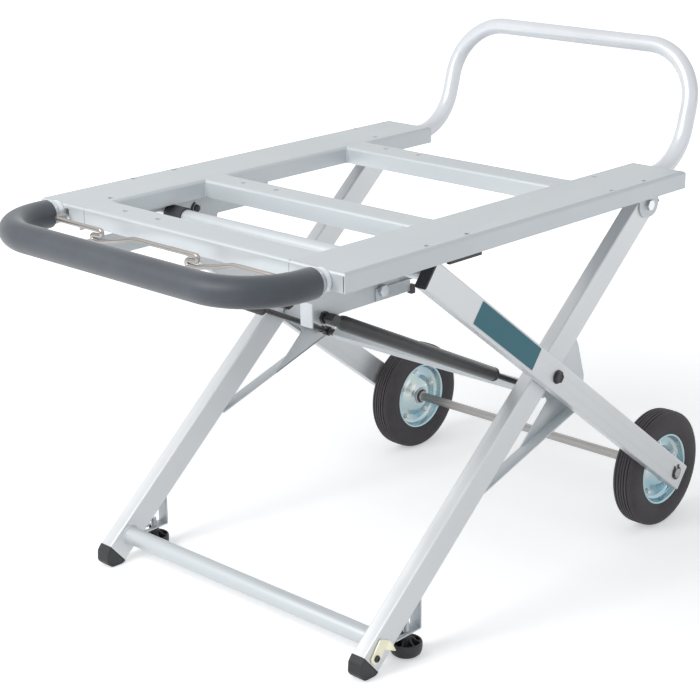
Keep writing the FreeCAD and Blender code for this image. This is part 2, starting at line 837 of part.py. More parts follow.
foot_tube_at = "(front_leg_lower - foot_tube_from_end)"
foot_tube_x = f"cross_x - {foot_tube_at} * cos(front_leg_angle)"
foot_tube_z = f"pivot_z - {foot_tube_at} * sin(front_leg_angle)"
keep("foot_cross_tube", rod("foot_cross_tube", foot_tube_x, "0 - front_leg_inside", foot_tube_z,
                            "foot_tube_radius", "2 * front_leg_inside"))


def foot_cap():
    """A rounded foot on the square end of the leg, flat where it meets the floor."""
    nose = rod("cap_nose", "cap_forward", "front_leg_inside - cap_proud", "cap_radius - cap_flat",
               "cap_radius", "front_leg_thick + 2 * cap_proud")
    beyond = body("cap_beyond_leg", "cross_x", "0", "pivot_z", "0 - front_leg_angle")
    drawing = sketch(beyond, "cap_region", "XZ_Plane", "0 - front_leg_inside")
    rectangle(drawing, "0 - front_leg_lower - 2 * cap_radius", "0 - front_leg_lower",
              "0 - leg_height", "leg_height")
    pad(beyond, drawing, "2 * front_leg_thick + 2 * cap_proud", middle=True)
    common = doc.addObject("Part::Common", "cap_common")
    common.Base = nose
    common.Tool = beyond
    under = box("cap_under_floor", ("0 - cap_radius", "0", "0 - cap_radius"),
                ("4 * cap_radius", "2 * front_leg_inside", "cap_radius"))
    return cut("foot_cap", common, under)


keep("foot_caps", both("foot_caps", foot_cap()))

square_tube = body("square_cross_tube", "gas_rear_x", "0", "gas_rear_z", "0 - front_leg_angle")
square_section = sketch(square_tube, "square_section", "XZ_Plane")
rectangle(square_section, "0 - square_tube / 2", "square_tube / 2",
          "0 - square_tube / 2", "square_tube / 2")
pad(square_tube, square_section, "2 * square_tube_half", middle=True)
square_bore = sketch(square_tube, "square_bore", "XZ_Plane")
RULES["square_bore_half"] = "square_tube / 2 - square_tube_wall"
rectangle(square_bore, "0 - square_bore_half", "square_bore_half",
          "0 - square_bore_half", "square_bore_half")
pocket(square_tube, square_bore, "2 * square_tube_half - 2 * square_tube_wall")
keep("square_cross_tube", square_tube)


def gusset():
    """A plate on the inner face of the leg, folded below, which carries the square cross tube."""
    plate = body("gusset_left", "cross_x", "0", "pivot_z", "0 - front_leg_angle")
    top = "gusset_overlap - leg_height / 2"

    def spot(along, down, lift="0"):
        return f"gusset_rear - {along} * gusset_length", f"{top} - {down} * gusset_drop + {lift}"

    middle = "front_leg_inside - gusset_sheet / 2"
    drawing = sketch(plate, "gusset_outline", "XZ_Plane", f"0 - ({middle})")
    outline(drawing, [spot(*share) for share in GUSSET_SHARES])
    pad(plate, drawing, "gusset_sheet", middle=True)
    fold = sketch(plate, "gusset_fold", "XZ_Plane",
                  "0 - (front_leg_inside - gusset_sheet + gusset_flange / 2)")
    outline(fold, [spot(*share) for share in FOLDED_SHARES]
            + [spot(*share, "gusset_sheet") for share in reversed(FOLDED_SHARES)])
    pad(plate, fold, "gusset_flange", middle=True)
    bore = sketch(plate, "gusset_bore", "XZ_Plane", f"0 - ({middle})")
    circle(bore, "square_tube_u", "0 - square_tube_v", "gas_stud_radius")
    pocket(plate, bore)
    return plate


far_gusset = keep("gusset_left", gusset())
keep("gusset_right", mirror("gusset_right", far_gusset))


RULES["leg_back_drop"] = "leg_height / 2 / sin(front_leg_angle)"
RULES["bracket_rear_x"] = "cross_x - (pivot_z - foot_bracket_height) / tan(front_leg_angle) + leg_back_drop"
RULES["bracket_front_x"] = "cross_x - (pivot_z - foot_plate_height) / tan(front_leg_angle) + leg_back_drop"


def levelling_bracket():
    """A bent strip behind the foot: down from the leg, then forward to meet it again."""
    bracket = body("levelling_bracket")
    drawing = sketch(bracket, "bracket_section", "XZ_Plane", "0 - front_leg_inside - front_leg_thick / 2")
    outline(drawing, [
        ("bracket_rear_x", "foot_bracket_height"),
        ("bracket_rear_x", "foot_plate_height"),
        ("bracket_front_x", "foot_plate_height"),
        ("bracket_front_x + foot_bracket_sheet / tan(front_leg_angle)",
         "foot_plate_height + foot_bracket_sheet"),
        ("bracket_rear_x - foot_bracket_sheet", "foot_plate_height + foot_bracket_sheet"),
        ("bracket_rear_x - foot_bracket_sheet",
         "foot_bracket_height - foot_bracket_sheet * tan(front_leg_angle)"),
    ])
    pad(bracket, drawing, "front_leg_thick", middle=True)
    bore = sketch(bracket, "bracket_bore", "XY_Plane", "foot_plate_height")
    circle(bore, "foot_knob_x", "front_leg_inside + front_leg_thick / 2", "foot_stem_radius + running_gap")
    pocket(bracket, bore, "4 * foot_bracket_sheet")
    return bracket


keep("levelling_brackets", both("levelling_brackets", levelling_bracket()))


def levelling_foot():
    """A ribbed knob that stands on the floor, with a threaded stem through the bracket."""
    middle = "front_leg_inside + front_leg_thick / 2"
    knob_top = "foot_plate_height - foot_play"
    knob = body("levelling_foot_left", "foot_knob_x", middle, "0")
    section = sketch(knob, "knob_section", "XZ_Plane")
    outline(section, [
        ("0", "0"), ("0.6 * foot_knob_radius", "0"), ("0.8 * foot_knob_radius", "0.12 * foot_plate_height"),
        ("foot_knob_radius", "0.7 * foot_plate_height"), ("foot_knob_radius", "0.9 * foot_plate_height"),
        ("0.9 * foot_knob_radius", knob_top), ("foot_stem_radius", knob_top),
        ("foot_stem_radius", "foot_plate_height + foot_bracket_sheet + foot_stem_above"),
        ("0", "foot_plate_height + foot_bracket_sheet + foot_stem_above"),
    ])
    turned = knob.newObject("PartDesign::Revolution", "knob_turned")
    turned.Profile = section
    turned.ReferenceAxis = (section, ["V_Axis"])
    doc.recompute()
    flute = sketch(knob, "knob_flute", "XY_Plane", "0.55 * foot_plate_height")
    circle(flute, "foot_knob_radius + 0.5 * foot_knob_rib", "0", "foot_knob_rib")
    groove = pocket(knob, flute, "foot_plate_height")
    ring = knob.newObject("PartDesign::PolarPattern", "knob_flutes")
    ring.Originals = [groove]
    ring.Axis = (flute, ["N_Axis"])
    ring.Angle = 360
    bind(ring, "Occurrences", "foot_knob_ribs")
    knob.Tip = ring
    doc.recompute()
    return knob


far_foot = keep("levelling_foot_left", levelling_foot())
keep("levelling_foot_right", mirror("levelling_foot_right", far_foot))


# The cross bolts that join the two pairs of legs

def pivot_bolt():
    """A bolt with a domed head on the wheel leg and a nut inside the front leg."""
    bolt = body("pivot_bolt", "cross_x", "0", "pivot_z")
    head = "wheel_leg_outside + seat_gap"
    drawing = sketch(bolt, "pivot_bolt_section", "YZ_Plane")
    spacer = "leg_height / 2 - gusset_overlap - seat_gap"
    outline(drawing, [
        ("front_leg_inside - gusset_sheet", "0"), ("front_leg_inside - gusset_sheet", spacer),
        ("front_leg_inside", spacer), ("front_leg_inside", "cross_bolt_radius"),
        (head, "cross_bolt_radius"), (head, "cross_head_radius"),
        (f"{head} + 0.3 * cross_head_height", "0.98 * cross_head_radius"),
        (f"{head} + 0.75 * cross_head_height", "0.7 * cross_head_radius"),
        (f"{head} + cross_head_height", "0.3 * cross_head_radius"), (f"{head} + cross_head_height", "0"),
    ])
    revolve(bolt, drawing)
    nut_height = "0.8 * cross_head_radius"
    nut = hexagon("pivot_nut", "cross_x", f"front_leg_inside - gusset_sheet - {nut_height}", "pivot_z",
                  "cross_head_radius", nut_height)
    return fuse("pivot_bolt_and_nut", bolt, nut)


keep("leg_cross_bolts", both("leg_cross_bolts", pivot_bolt()))


# Wheel legs, the slide tube and the axle

wheel_leg = leg_tube("wheel_leg_left", "wheel_leg_angle", "0 - wheel_leg_upper",
                     "wheel_leg_upper + wheel_arm + wheel_leg_end_spare",
                     "wheel_leg_inside", "wheel_leg_thick")
cross_holes(wheel_leg, "wheel_leg_holes", [
    ("0", "cross_bolt_radius + running_gap"), ("wheel_arm", "axle_radius"),
])
keep("wheel_leg_left", wheel_leg)
keep("wheel_leg_right", mirror("wheel_leg_right", wheel_leg))
wheel_plug = end_plug("wheel_leg_plug", "wheel_leg_angle", "0 - wheel_leg_upper", True,
                      "wheel_leg_inside", "wheel_leg_thick")
keep("wheel_leg_plugs", both("wheel_leg_plugs", wheel_plug))

keep("slide_tube", rod("slide_tube", "slide_x", "0 - slide_tube_half", "hinge_z", "slide_tube_radius",
                       "2 * slide_tube_half"))
slide_pin = rod("slide_pin", "slide_x", "slide_tube_half", "hinge_z", "slide_pin_radius",
                "wheel_leg_inside - slide_tube_half")
keep("slide_pins", both("slide_pins", slide_pin))
bush_outer = rod("bush_outer", "slide_x", "track_in - seat_gap - slide_bush_length", "hinge_z",
                 "slide_tube_radius + slide_bush_wall", "slide_bush_length")
bush_pin_hole = rod("bush_pin_hole", "slide_x", "slide_tube_half", "hinge_z",
                    "slide_pin_radius", "slide_bush_length")
bush_tube_hole = rod("bush_tube_hole", "slide_x", "slide_tube_half - 2 * slide_bush_length", "hinge_z",
                     "slide_tube_radius", "2 * slide_bush_length")
slide_bush = cut("slide_bush", bush_outer, bush_tube_hole, bush_pin_hole)
keep("slide_bushes", both("slide_bushes", slide_bush))

RULES["axle_half"] = "wheel_leg_outside + axle_spare"
keep("axle", rod("axle", "axle_x", "0 - axle_half", "wheel_radius", "axle_radius", "2 * axle_half"))


def axle_ring(name, start, length):
    outer = rod(name + "_outer", "axle_x", start, "wheel_radius", "clip_radius", length)
    hole = rod(name + "_hole", "axle_x", f"{start} - overrun", "wheel_radius", "axle_radius",
               f"{length} + 2 * overrun")
    return cut(name, outer, hole)


keep("axle_clips", both("axle_clips", axle_ring("axle_clip", "wheel_leg_outside", "clip_thick")))
keep("axle_washers", both("axle_washers", axle_ring(
    "axle_washer", "wheel_leg_inside - wheel_gap + seat_gap", "wheel_gap - seat_gap")))
keep("axle_collars", both("axle_collars", axle_ring(
    "axle_collar", "wheel_leg_inside - wheel_gap - wheel_width - seat_gap - 2 * clip_thick",
    "2 * clip_thick")))


# Wheels

def tyre():
    """A solid rubber tyre with three ribs round its tread."""
    ring = body("tyre_left", "axle_x", "wheel_y", "wheel_radius")
    half = "wheel_width / 2"
    height = "(wheel_radius - rim_radius)"
    right = [(f"{a} * {half}", f"rim_radius + {b} * {height}") for a, b in TYRE_SHARES]
    groove = "wheel_radius - tread_depth"
    right += [(f"0.42 * {half}", "wheel_radius"), (f"0.36 * {half}", groove), (f"0.30 * {half}", groove),
              (f"0.24 * {half}", "wheel_radius")]
    left = [(f"0 - {a}", z) for a, z in reversed(right)]
    drawing = sketch(ring, "tyre_section", "YZ_Plane")
    outline(drawing, right + left)
    revolve(ring, drawing)
    return ring


far_tyre = keep("tyre_left", tyre())
keep("tyre_right", mirror("tyre_right", far_tyre))


def rim():
    """Two pressed discs back to back: lips that hold the tyre, dished faces and a hub."""
    disc = body("rim_left", "axle_x", "wheel_y", "wheel_radius")
    right = [
        ("rim_lip", "rim_radius"), ("rim_lip + rim_sheet / 2", "rim_radius - rim_sheet"),
        ("rim_lip - rim_sheet / 2", "rim_radius - 2 * rim_sheet"),
        ("rim_dish - rim_sheet / 2", "rim_radius - 4 * rim_sheet"),
        ("rim_dish - rim_sheet / 2", "1.8 * hub_radius"),
        ("rim_dish + rim_sheet", "1.5 * hub_radius"), ("rim_dish + 2 * rim_sheet", "hub_radius"),
        ("rim_dish + 2 * rim_sheet", "bearing_radius"),
    ]
    left = [(f"0 - ({y})", z) for y, z in reversed(right)]
    drawing = sketch(disc, "rim_section", "YZ_Plane")
    outline(drawing, right + left)
    revolve(disc, drawing)
    return disc


far_rim = keep("rim_left", rim())
keep("rim_right", mirror("rim_right", far_rim))


def bearing():
    sleeve = body("wheel_bearing_left", "axle_x", "wheel_y", "wheel_radius")
    drawing = sketch(sleeve, "bearing_section", "XZ_Plane")
    circle(drawing, "0", "0", "bearing_radius")
    circle(drawing, "0", "0", "axle_radius + running_gap")
    pad(sleeve, drawing, "wheel_width", middle=True)
    return sleeve


far_bearing = keep("wheel_bearing_left", bearing())
keep("wheel_bearing_right", mirror("wheel_bearing_right", far_bearing))


# Gas springs and their studs

RULES["gas_angle"] = "atan(gas_fall / gas_run)"
RULES["gas_bore_radius"] = "gas_body_radius - gas_body_wall"


def gas_cylinder():
    """A cylinder with an eye at the front, hollow behind its guide for the rod and piston."""
    cylinder = body("gas_cylinder_left", "gas_front_x", "gas_y", "gas_front_z", "gas_angle")
    section = sketch(cylinder, "gas_section", "XZ_Plane")
    hole = "gas_rod_radius + running_gap"
    start = "gas_eye_radius + gas_neck_radius"
    outline(section, [
        ("0.5 * gas_eye_radius", "0"), ("0.5 * gas_eye_radius", "gas_neck_radius"),
        (start, "gas_neck_radius"), (f"{start} + gas_neck_radius", "gas_body_radius"),
        ("gas_body_end - gas_body_wall", "gas_body_radius"),
        ("gas_body_end", "gas_bore_radius"), ("gas_body_end", hole), ("gas_body_end - gas_guide", hole),
        ("gas_body_end - gas_guide", "gas_bore_radius"),
        (f"{start} + 2 * gas_neck_radius", "gas_bore_radius"), (f"{start} + 2 * gas_neck_radius", "0"),
    ])
    revolve(cylinder, section)
    eye = sketch(cylinder, "gas_eye", "XZ_Plane")
    circle(eye, "0", "0", "gas_eye_radius")
    pad(cylinder, eye, "gas_eye_width", middle=True)
    hole_drawing = sketch(cylinder, "gas_eye_hole", "XZ_Plane")
    circle(hole_drawing, "0", "0", "gas_stud_radius + running_gap")
    pocket(cylinder, hole_drawing)
    return cylinder


def gas_rod():
    """A rod with a piston inside the cylinder and an eye at the rear."""
    item = body("gas_rod_left", "gas_front_x", "gas_y", "gas_front_z", "gas_angle")
    section = sketch(item, "gas_rod_section", "XZ_Plane")
    front = "gas_length - gas_rod_length"
    piston = "gas_bore_radius - running_gap"
    outline(section, [
        (front, "0"), (front, piston), (f"{front} + gas_piston_length", piston),
        (f"{front} + gas_piston_length", "gas_rod_radius"),
        ("gas_length - 0.5 * gas_eye_radius", "gas_rod_radius"),
        ("gas_length - 0.5 * gas_eye_radius", "0"),
    ])
    revolve(item, section)
    eye = sketch(item, "gas_rod_eye", "XZ_Plane")
    circle(eye, "gas_length", "0", "gas_eye_radius")
    pad(item, eye, "gas_eye_width", middle=True)
    return item


far_cylinder = keep("gas_cylinder_left", gas_cylinder())
keep("gas_cylinder_right", mirror("gas_cylinder_right", far_cylinder))
far_rod = keep("gas_rod_left", gas_rod())
keep("gas_rod_right", mirror("gas_rod_right", far_rod))

RULES["gas_eye_in"] = "gas_y - gas_eye_width / 2 - seat_gap"
RULES["gas_eye_out"] = "gas_y + gas_eye_width / 2 + seat_gap"


def front_stud():
    """The stud on the track plate's ear that the spring's front eye turns on, with its nut."""
    shank = rod("front_stud_shank", "gas_front_x", "track_in", "gas_front_z", "gas_stud_radius",
                "gas_eye_out - track_in")
    nut = hexagon("front_stud_nut", "gas_front_x", "track_out", "gas_front_z", "bolt_head_radius",
                  "bolt_head_height")
    neck = rod("front_stud_neck", "gas_front_x", "track_out", "gas_front_z", "gas_neck_radius",
               "gas_eye_in - track_out")
    head = rod("front_stud_head", "gas_front_x", "gas_eye_out", "gas_front_z", "gas_eye_radius",
               "clip_thick")
    return fuse("front_stud", shank, nut, neck, head)


keep("gas_front_studs", both("gas_front_studs", front_stud()))


def rear_stud():
    """Two short studs on one line, from the square tube's end and from the gusset."""
    inner = rod("rear_stud_inner", "gas_rear_x", "square_tube_half", "gas_rear_z", "gas_neck_radius",
                "gas_eye_in - square_tube_half")
    collar_end = "front_leg_inside - gusset_sheet"
    outer = fuse("rear_stud_outer",
                 rod("rear_stud_pin", "gas_rear_x", "gas_eye_out", "gas_rear_z", "gas_stud_radius",
                     "front_leg_inside - gas_eye_out"),
                 rod("rear_stud_collar", "gas_rear_x", "gas_eye_out", "gas_rear_z", "gas_neck_radius",
                     f"{collar_end} - gas_eye_out"))
    return group("rear_stud", inner, outer)


keep("gas_rear_studs", both("gas_rear_studs", rear_stud()))


# Release lever and the two catches

dip_z = "tube_z - lever_dip"
bar_x = "0 - lever_reach"
arm_y = "(lever_y - lever_jog)"
lever_path = [
    ("catch_front", "lever_y", "tube_z"), ("0 - lever_jog_start", "lever_y", "tube_z"),
    ("0 - grip_start", arm_y, "tube_z"), (bar_x, arm_y, "tube_z"),
    (bar_x, "lever_dip_far + lever_dip_width / 2 + lever_dip", "tube_z"),
    (bar_x, "lever_dip_far + lever_dip_width / 2", dip_z),
    (bar_x, "lever_dip_far - lever_dip_width / 2", dip_z),
    (bar_x, "lever_dip_far - lever_dip_width / 2 - lever_dip", "tube_z"),
    (bar_x, "0 - lever_dip_near + lever_dip_width / 2 + lever_dip", "tube_z"),
    (bar_x, "0 - lever_dip_near + lever_dip_width / 2", dip_z),
    (bar_x, "0 - lever_dip_near - lever_dip_width / 2", dip_z),
    (bar_x, "0 - lever_dip_near - lever_dip_width / 2 - lever_dip", "tube_z"),
    (bar_x, f"0 - {arm_y}", "tube_z"), ("0 - grip_start", f"0 - {arm_y}", "tube_z"),
    ("0 - lever_jog_start", "0 - lever_y", "tube_z"), ("catch_front", "0 - lever_y", "tube_z"),
]
lever_bends = ["lever_jog_bend"] * 2 + ["lever_bend"] * (len(lever_path) - 6) + ["lever_jog_bend"] * 2
keep("release_lever", bent_bar("release_lever", lever_path, lever_bends, "lever_radius"))


def catch():
    """A plate on the lever's end whose tooth drops in front of the slide pin."""
    plate = body("catch_left")
    drawing = sketch(plate, "catch_outline", "XZ_Plane", "0 - lever_y")
    low = "hinge_z + slide_pin_radius + catch_gap"
    beam = "tube_z - catch_arm - 0.5 * catch_arm"
    rear = "slide_x - slide_pin_radius"
    outline(drawing, [
        ("catch_front", beam), (f"{rear} - 1.6 * catch_tooth", beam),
        (f"{rear} - catch_tooth - catch_gap", low),
        (f"{rear} - catch_gap", low), (f"{rear} - catch_gap", f"{beam} + catch_arm"),
        ("catch_front + 2 * catch_height", "tube_z"),
        ("catch_front + catch_height", "tube_z + lever_radius"), ("catch_front", "tube_z + lever_radius"),
    ])
    pad(plate, drawing, "catch_thick", middle=True)
    bore = sketch(plate, "catch_bore", "XZ_Plane", "0 - lever_y")
    circle(bore, "catch_pivot_x", "catch_pivot_z", "catch_bolt_radius + running_gap")
    pocket(plate, bore)
    return plate


far_catch = keep("catch_left", catch())
keep("catch_right", mirror("catch_right", far_catch))


def catch_bolt():
    """The shouldered bolt that a catch turns on."""
    shank = rod("catch_bolt_shank", "catch_pivot_x", "track_in", "catch_pivot_z", "catch_bolt_radius",
                "lever_y + catch_thick / 2 + seat_gap - track_in")
    head = rod("catch_bolt_head", "catch_pivot_x", "lever_y + catch_thick / 2 + seat_gap", "catch_pivot_z",
               "1.6 * catch_bolt_radius", "catch_bolt_radius")
    spacer = rod("catch_bolt_spacer", "catch_pivot_x", "track_out", "catch_pivot_z",
                 "1.6 * catch_bolt_radius", "lever_y - catch_thick / 2 - seat_gap - track_out")
    return fuse("catch_bolt", shank, head, spacer)


keep("catch_bolts", both("catch_bolts", catch_bolt()))


# Transport hook on the near foot

RULES["hook_x"] = "cross_x - (front_leg_lower - hook_from_end) * cos(front_leg_angle)"
RULES["hook_z"] = "pivot_z - (front_leg_lower - hook_from_end) * sin(front_leg_angle)"


def transport_hook():
    """A flat hook that swings on a screw in the near leg's outer face."""
    hook = body("transport_hook", "hook_x", "0 - (front_leg_outside + seat_gap + hook_sheet / 2)", "hook_z")
    eye = sketch(hook, "hook_eye", "XZ_Plane")
    circle(eye, "0", "0", "hook_eye")
    pad(hook, eye, "hook_sheet", middle=True)
    arm = sketch(hook, "hook_arm", "XZ_Plane")
    outline(arm, [(f"{across} * hook_length", f"{along} * hook_length") for across, along in HOOK_SHARES])
    pad(hook, arm, "hook_sheet", middle=True)
    bore = sketch(hook, "hook_bore", "XZ_Plane")
    circle(bore, "0", "0", "hook_screw_radius + running_gap")
    pocket(hook, bore)
    return hook


keep("transport_hook", transport_hook())
hook_shank = rod("hook_screw_shank", "hook_x", "0 - (front_leg_outside + 2 * seat_gap + hook_sheet)",
                 "hook_z", "hook_screw_radius", "2 * seat_gap + hook_sheet")
hook_head = rod("hook_screw_head", "hook_x", "0 - (front_leg_outside + 2 * seat_gap + 2 * hook_sheet)",
                "hook_z", "2 * hook_screw_radius", "hook_sheet")
keep("hook_screw", fuse("hook_screw", hook_shank, hook_head))


# Check the document, then write one file for each piece

doc.recompute()
faults = [item.Name for item in doc.Objects if {"Invalid", "Error"} & set(item.State)]
faults += [name for name, item in nodes.items() if item.Shape.isNull() or not item.Shape.isValid()]
if faults:
    raise RuntimeError("These did not build: " + ", ".join(faults))
os.makedirs("parts", exist_ok=True)
for name, item in nodes.items():
    item.Shape.exportStep(f"parts/{name}.step")
print(len(nodes), "pieces written")
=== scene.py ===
# %% [markdown]
# A folding work table for a benchtop saw: a sheet metal top on crossed legs, with two
# wheels, two gas springs, a padded front handle and a raised rear handle.
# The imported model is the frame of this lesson. Each piece below either gives one of its
# nodes a finish, or stands in for a node with a finer shape.

# %% Load the frame
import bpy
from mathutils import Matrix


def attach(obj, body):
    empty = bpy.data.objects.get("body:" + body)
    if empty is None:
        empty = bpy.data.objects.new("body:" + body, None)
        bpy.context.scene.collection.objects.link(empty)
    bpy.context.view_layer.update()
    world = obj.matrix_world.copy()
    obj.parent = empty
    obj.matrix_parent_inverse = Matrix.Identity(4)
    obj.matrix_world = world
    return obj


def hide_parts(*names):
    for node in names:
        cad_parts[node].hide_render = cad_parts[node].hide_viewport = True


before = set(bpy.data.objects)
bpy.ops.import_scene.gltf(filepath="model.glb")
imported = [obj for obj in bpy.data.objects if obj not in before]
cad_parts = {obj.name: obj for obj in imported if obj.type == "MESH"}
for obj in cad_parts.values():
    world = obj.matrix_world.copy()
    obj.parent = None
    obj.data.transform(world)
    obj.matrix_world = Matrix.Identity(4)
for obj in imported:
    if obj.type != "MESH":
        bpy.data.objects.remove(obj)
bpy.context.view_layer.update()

# %% Modules and shared places
import itertools
import math
import bpy
import bmesh
from mathutils import Matrix, Vector

MM = 0.001
MIDDLE_X = 392.85
LEG_TURN = math.radians(37.5)
FRONT_TURN = math.radians(40.7)
PIVOT = (472.0, 364.89)
AXLE = (815.13, 101.6)
TUBE_Z = 616.0
TOP_Z = 632.0


def spot(x, y, z):
    """A point in metres from millimetres counted from the frame's front face."""
    return Vector(((x - MIDDLE_X) * MM, y * MM, z * MM))


def on_leg(turn, along, across, y):
    """A point on a leg: along it from the cross bolt, and above its middle line."""
    x = PIVOT[0] + along * math.cos(turn) + across * math.sin(turn)
    z = PIVOT[1] - along * math.sin(turn) + across * math.cos(turn)
    return spot(x, y, z)


def new_object(name, data):
    """An object in the scene that shows a mesh, a lamp or a camera."""
    item = bpy.data.objects.new(name, data)
    bpy.context.scene.collection.objects.link(item)
    return item


def on_wheel_leg(along, across, y):
    return on_leg(LEG_TURN, along, across, y)


def on_front_leg(along, across, y):
    return on_leg(-FRONT_TURN, along, across, y)


def upright(x, z, y):
    return spot(x, y, z)


def beside(point, sign, start=(0, 0)):
    """A place for flat pieces on one side of the table, counted from a start."""
    return lambda a, b, y: point(a + start[0], b + start[1], sign * y)


print("The wheel leg's top is at", on_wheel_leg(-370, 0, 311))

# %% [markdown]
# The camera comes first, because every choice of detail depends on what it sees.
# It stands to the front and right of the table, a little above the top, with a long lens.
# Its place and tilt were worked out from straight edges of the frame.

# %% Camera at the photograph's angle
EYE = (-1651.38, -1910.50, 1290.36)
YAW, PITCH, ROLL = math.radians(46.29), math.radians(18.44), math.radians(-0.66)
forward = Vector((math.cos(PITCH) * math.sin(YAW), math.cos(PITCH) * math.cos(YAW), -math.sin(PITCH)))
right = Vector((math.cos(YAW), -math.sin(YAW), 0))
up = right.cross(forward)
right_rolled = right * math.cos(ROLL) + up * math.sin(ROLL)
up_rolled = up * math.cos(ROLL) - right * math.sin(ROLL)
camera_data = bpy.data.cameras.new("camera")
camera_data.lens = 93.47
camera_data.sensor_width = 36
camera_data.clip_start = 0.05
camera_data.clip_end = 60
camera = new_object("camera", camera_data)
turn = Matrix((right_rolled, up_rolled, -forward)).transposed()
camera.matrix_world = Matrix.Translation(spot(*EYE)) @ turn.to_4x4()
bpy.context.scene.camera = camera
print("The camera is at", tuple(camera.location))

# %% [markdown]
# Materials are small node trees. One helper makes a shader with its plain values, and
# the finishes below add noise for colour, roughness and bump at the scale of each surface.

# %% Helpers for node trees
def shader(name, colour, rough=0.5, metal=0.0, **values):
    """A new material with a Principled shader and constant values on its own sockets."""
    material = bpy.data.materials.new(name)
    material.use_nodes = True
    surface = material.node_tree.nodes["Principled BSDF"]
    surface.inputs["Base Color"].default_value = (*colour, 1)
    surface.inputs["Roughness"].default_value = rough
    surface.inputs["Metallic"].default_value = metal
    for socket, value in values.items():
        surface.inputs[socket.replace("_", " ")].default_value = value
    material.diffuse_color = (*colour, 1)
    return material, surface


def node(tree, kind, **inputs):
    """A node with values on its inputs; a value that is a socket is linked."""
    item = tree.nodes.new(kind)
    for key, value in inputs.items():
        key = key.replace("_", " ") if isinstance(key, str) else key
        put(tree, item.inputs[key], value)
    return item


def put(tree, socket, value):
    if isinstance(value, bpy.types.NodeSocket):
        tree.links.new(value, socket)
    else:
        socket.default_value = value


def object_place(tree, scale=(1, 1, 1), turned=(0, 0, 0)):
    """Object coordinates, turned and stretched to suit a surface."""
    place = tree.nodes.new("ShaderNodeTexCoord")
    mapping = tree.nodes.new("ShaderNodeMapping")
    mapping.vector_type = "POINT"
    mapping.inputs["Rotation"].default_value = turned
    second = tree.nodes.new("ShaderNodeMapping")
    second.inputs["Scale"].default_value = scale
    tree.links.new(place.outputs["Object"], mapping.inputs["Vector"])
    tree.links.new(mapping.outputs["Vector"], second.inputs["Vector"])
    return second.outputs["Vector"]


def noise(tree, vector, scale, detail=3.0, rough=0.55):
    item = node(tree, "ShaderNodeTexNoise", Vector=vector, Scale=scale, Detail=detail, Roughness=rough)
    return item.outputs["Fac"]


def ramp(tree, factor, low, high, start, end):
    """Map a factor between two limits onto a span of values."""
    item = node(tree, "ShaderNodeMapRange", Value=factor)
    item.inputs["From Min"].default_value = low
    item.inputs["From Max"].default_value = high
    item.inputs["To Min"].default_value = start
    item.inputs["To Max"].default_value = end
    return item.outputs["Result"]


def blend_colours(tree, factor, first, second):
    item = tree.nodes.new("ShaderNodeMix")
    item.data_type = "RGBA"
    sockets = [socket for socket in item.inputs if socket.enabled]
    put(tree, sockets[0], factor)
    for socket, colour in zip(sockets[1:], (first, second)):
        put(tree, socket, colour if isinstance(colour, bpy.types.NodeSocket) else (*colour, 1))
    return [socket for socket in item.outputs if socket.enabled][0]


def maths(tree, operation, first, second):
    item = tree.nodes.new("ShaderNodeMath")
    item.operation = operation
    put(tree, item.inputs[0], first)
    put(tree, item.inputs[1], second)
    return item.outputs[0]


def dress(tree, surface, colour, rough):
    """Link a colour and a roughness to the shader."""
    tree.links.new(colour, surface.inputs["Base Color"])
    tree.links.new(rough, surface.inputs["Roughness"])


def bump(tree, surface, height, distance, strength=1.0):
    item = node(tree, "ShaderNodeBump", Height=height, Distance=distance, Strength=strength)
    tree.links.new(item.outputs["Normal"], surface.inputs["Normal"])


def edge_highlight_mask(tree, low=0.53, high=0.6):
    """A factor that is 1 on sharp outer edges, from the mesh's pointiness; it paints a highlight there."""
    shape = tree.nodes.new("ShaderNodeNewGeometry")
    return ramp(tree, shape.outputs["Pointiness"], low, high, 0.0, 1.0)


print("Helpers are ready")

# %% [markdown]
# The top frame is folded sheet with a silver powder coat. Up close it is a fine orange
# peel with tiny flakes, so the bump is shallow and the colour hardly changes. Sharp outer
# edges get a painted highlight: their colour is a little brighter.

# %% Silver paint for the frame and the welded steel
def silver_paint(name, colour, rough=0.42, metal=0.35):
    material, surface = shader(name, colour, rough, metal, Coat_Weight=0.12, Coat_Roughness=0.3)
    tree = material.node_tree
    place = object_place(tree)
    clouds = noise(tree, place, 6.0, 4.0)
    flakes = noise(tree, place, 1400.0, 2.0)
    dull = tuple(0.9 * part for part in colour)
    tone = blend_colours(tree, ramp(tree, clouds, 0.3, 0.7, 0.0, 1.0), dull, colour)
    # painted highlight: sharp outer edges get a brighter colour
    bright = tuple(min(1.0, 1.12 * part) for part in colour)
    tone_with_edge_highlight = blend_colours(tree, edge_highlight_mask(tree), tone, bright)
    dress(tree, surface, tone_with_edge_highlight, ramp(tree, clouds, 0.3, 0.7, rough - 0.05, rough + 0.08))
    bump(tree, surface, flakes, 0.00012, 0.35)
    return material


frame_silver = silver_paint("frame_silver", (0.565, 0.6, 0.622))
steel_silver = silver_paint("steel_silver", (0.58, 0.615, 0.635), 0.38, 0.4)
handle_silver = silver_paint("handle_silver", (0.84, 0.865, 0.9), 0.3, 0.3)
print("Made", frame_silver.name, steel_silver.name, handle_silver.name)

# %% [markdown]
# The legs are extruded aluminium. Extrusion leaves faint lines along the bar, so the
# noise is stretched many times along the leg's own direction.

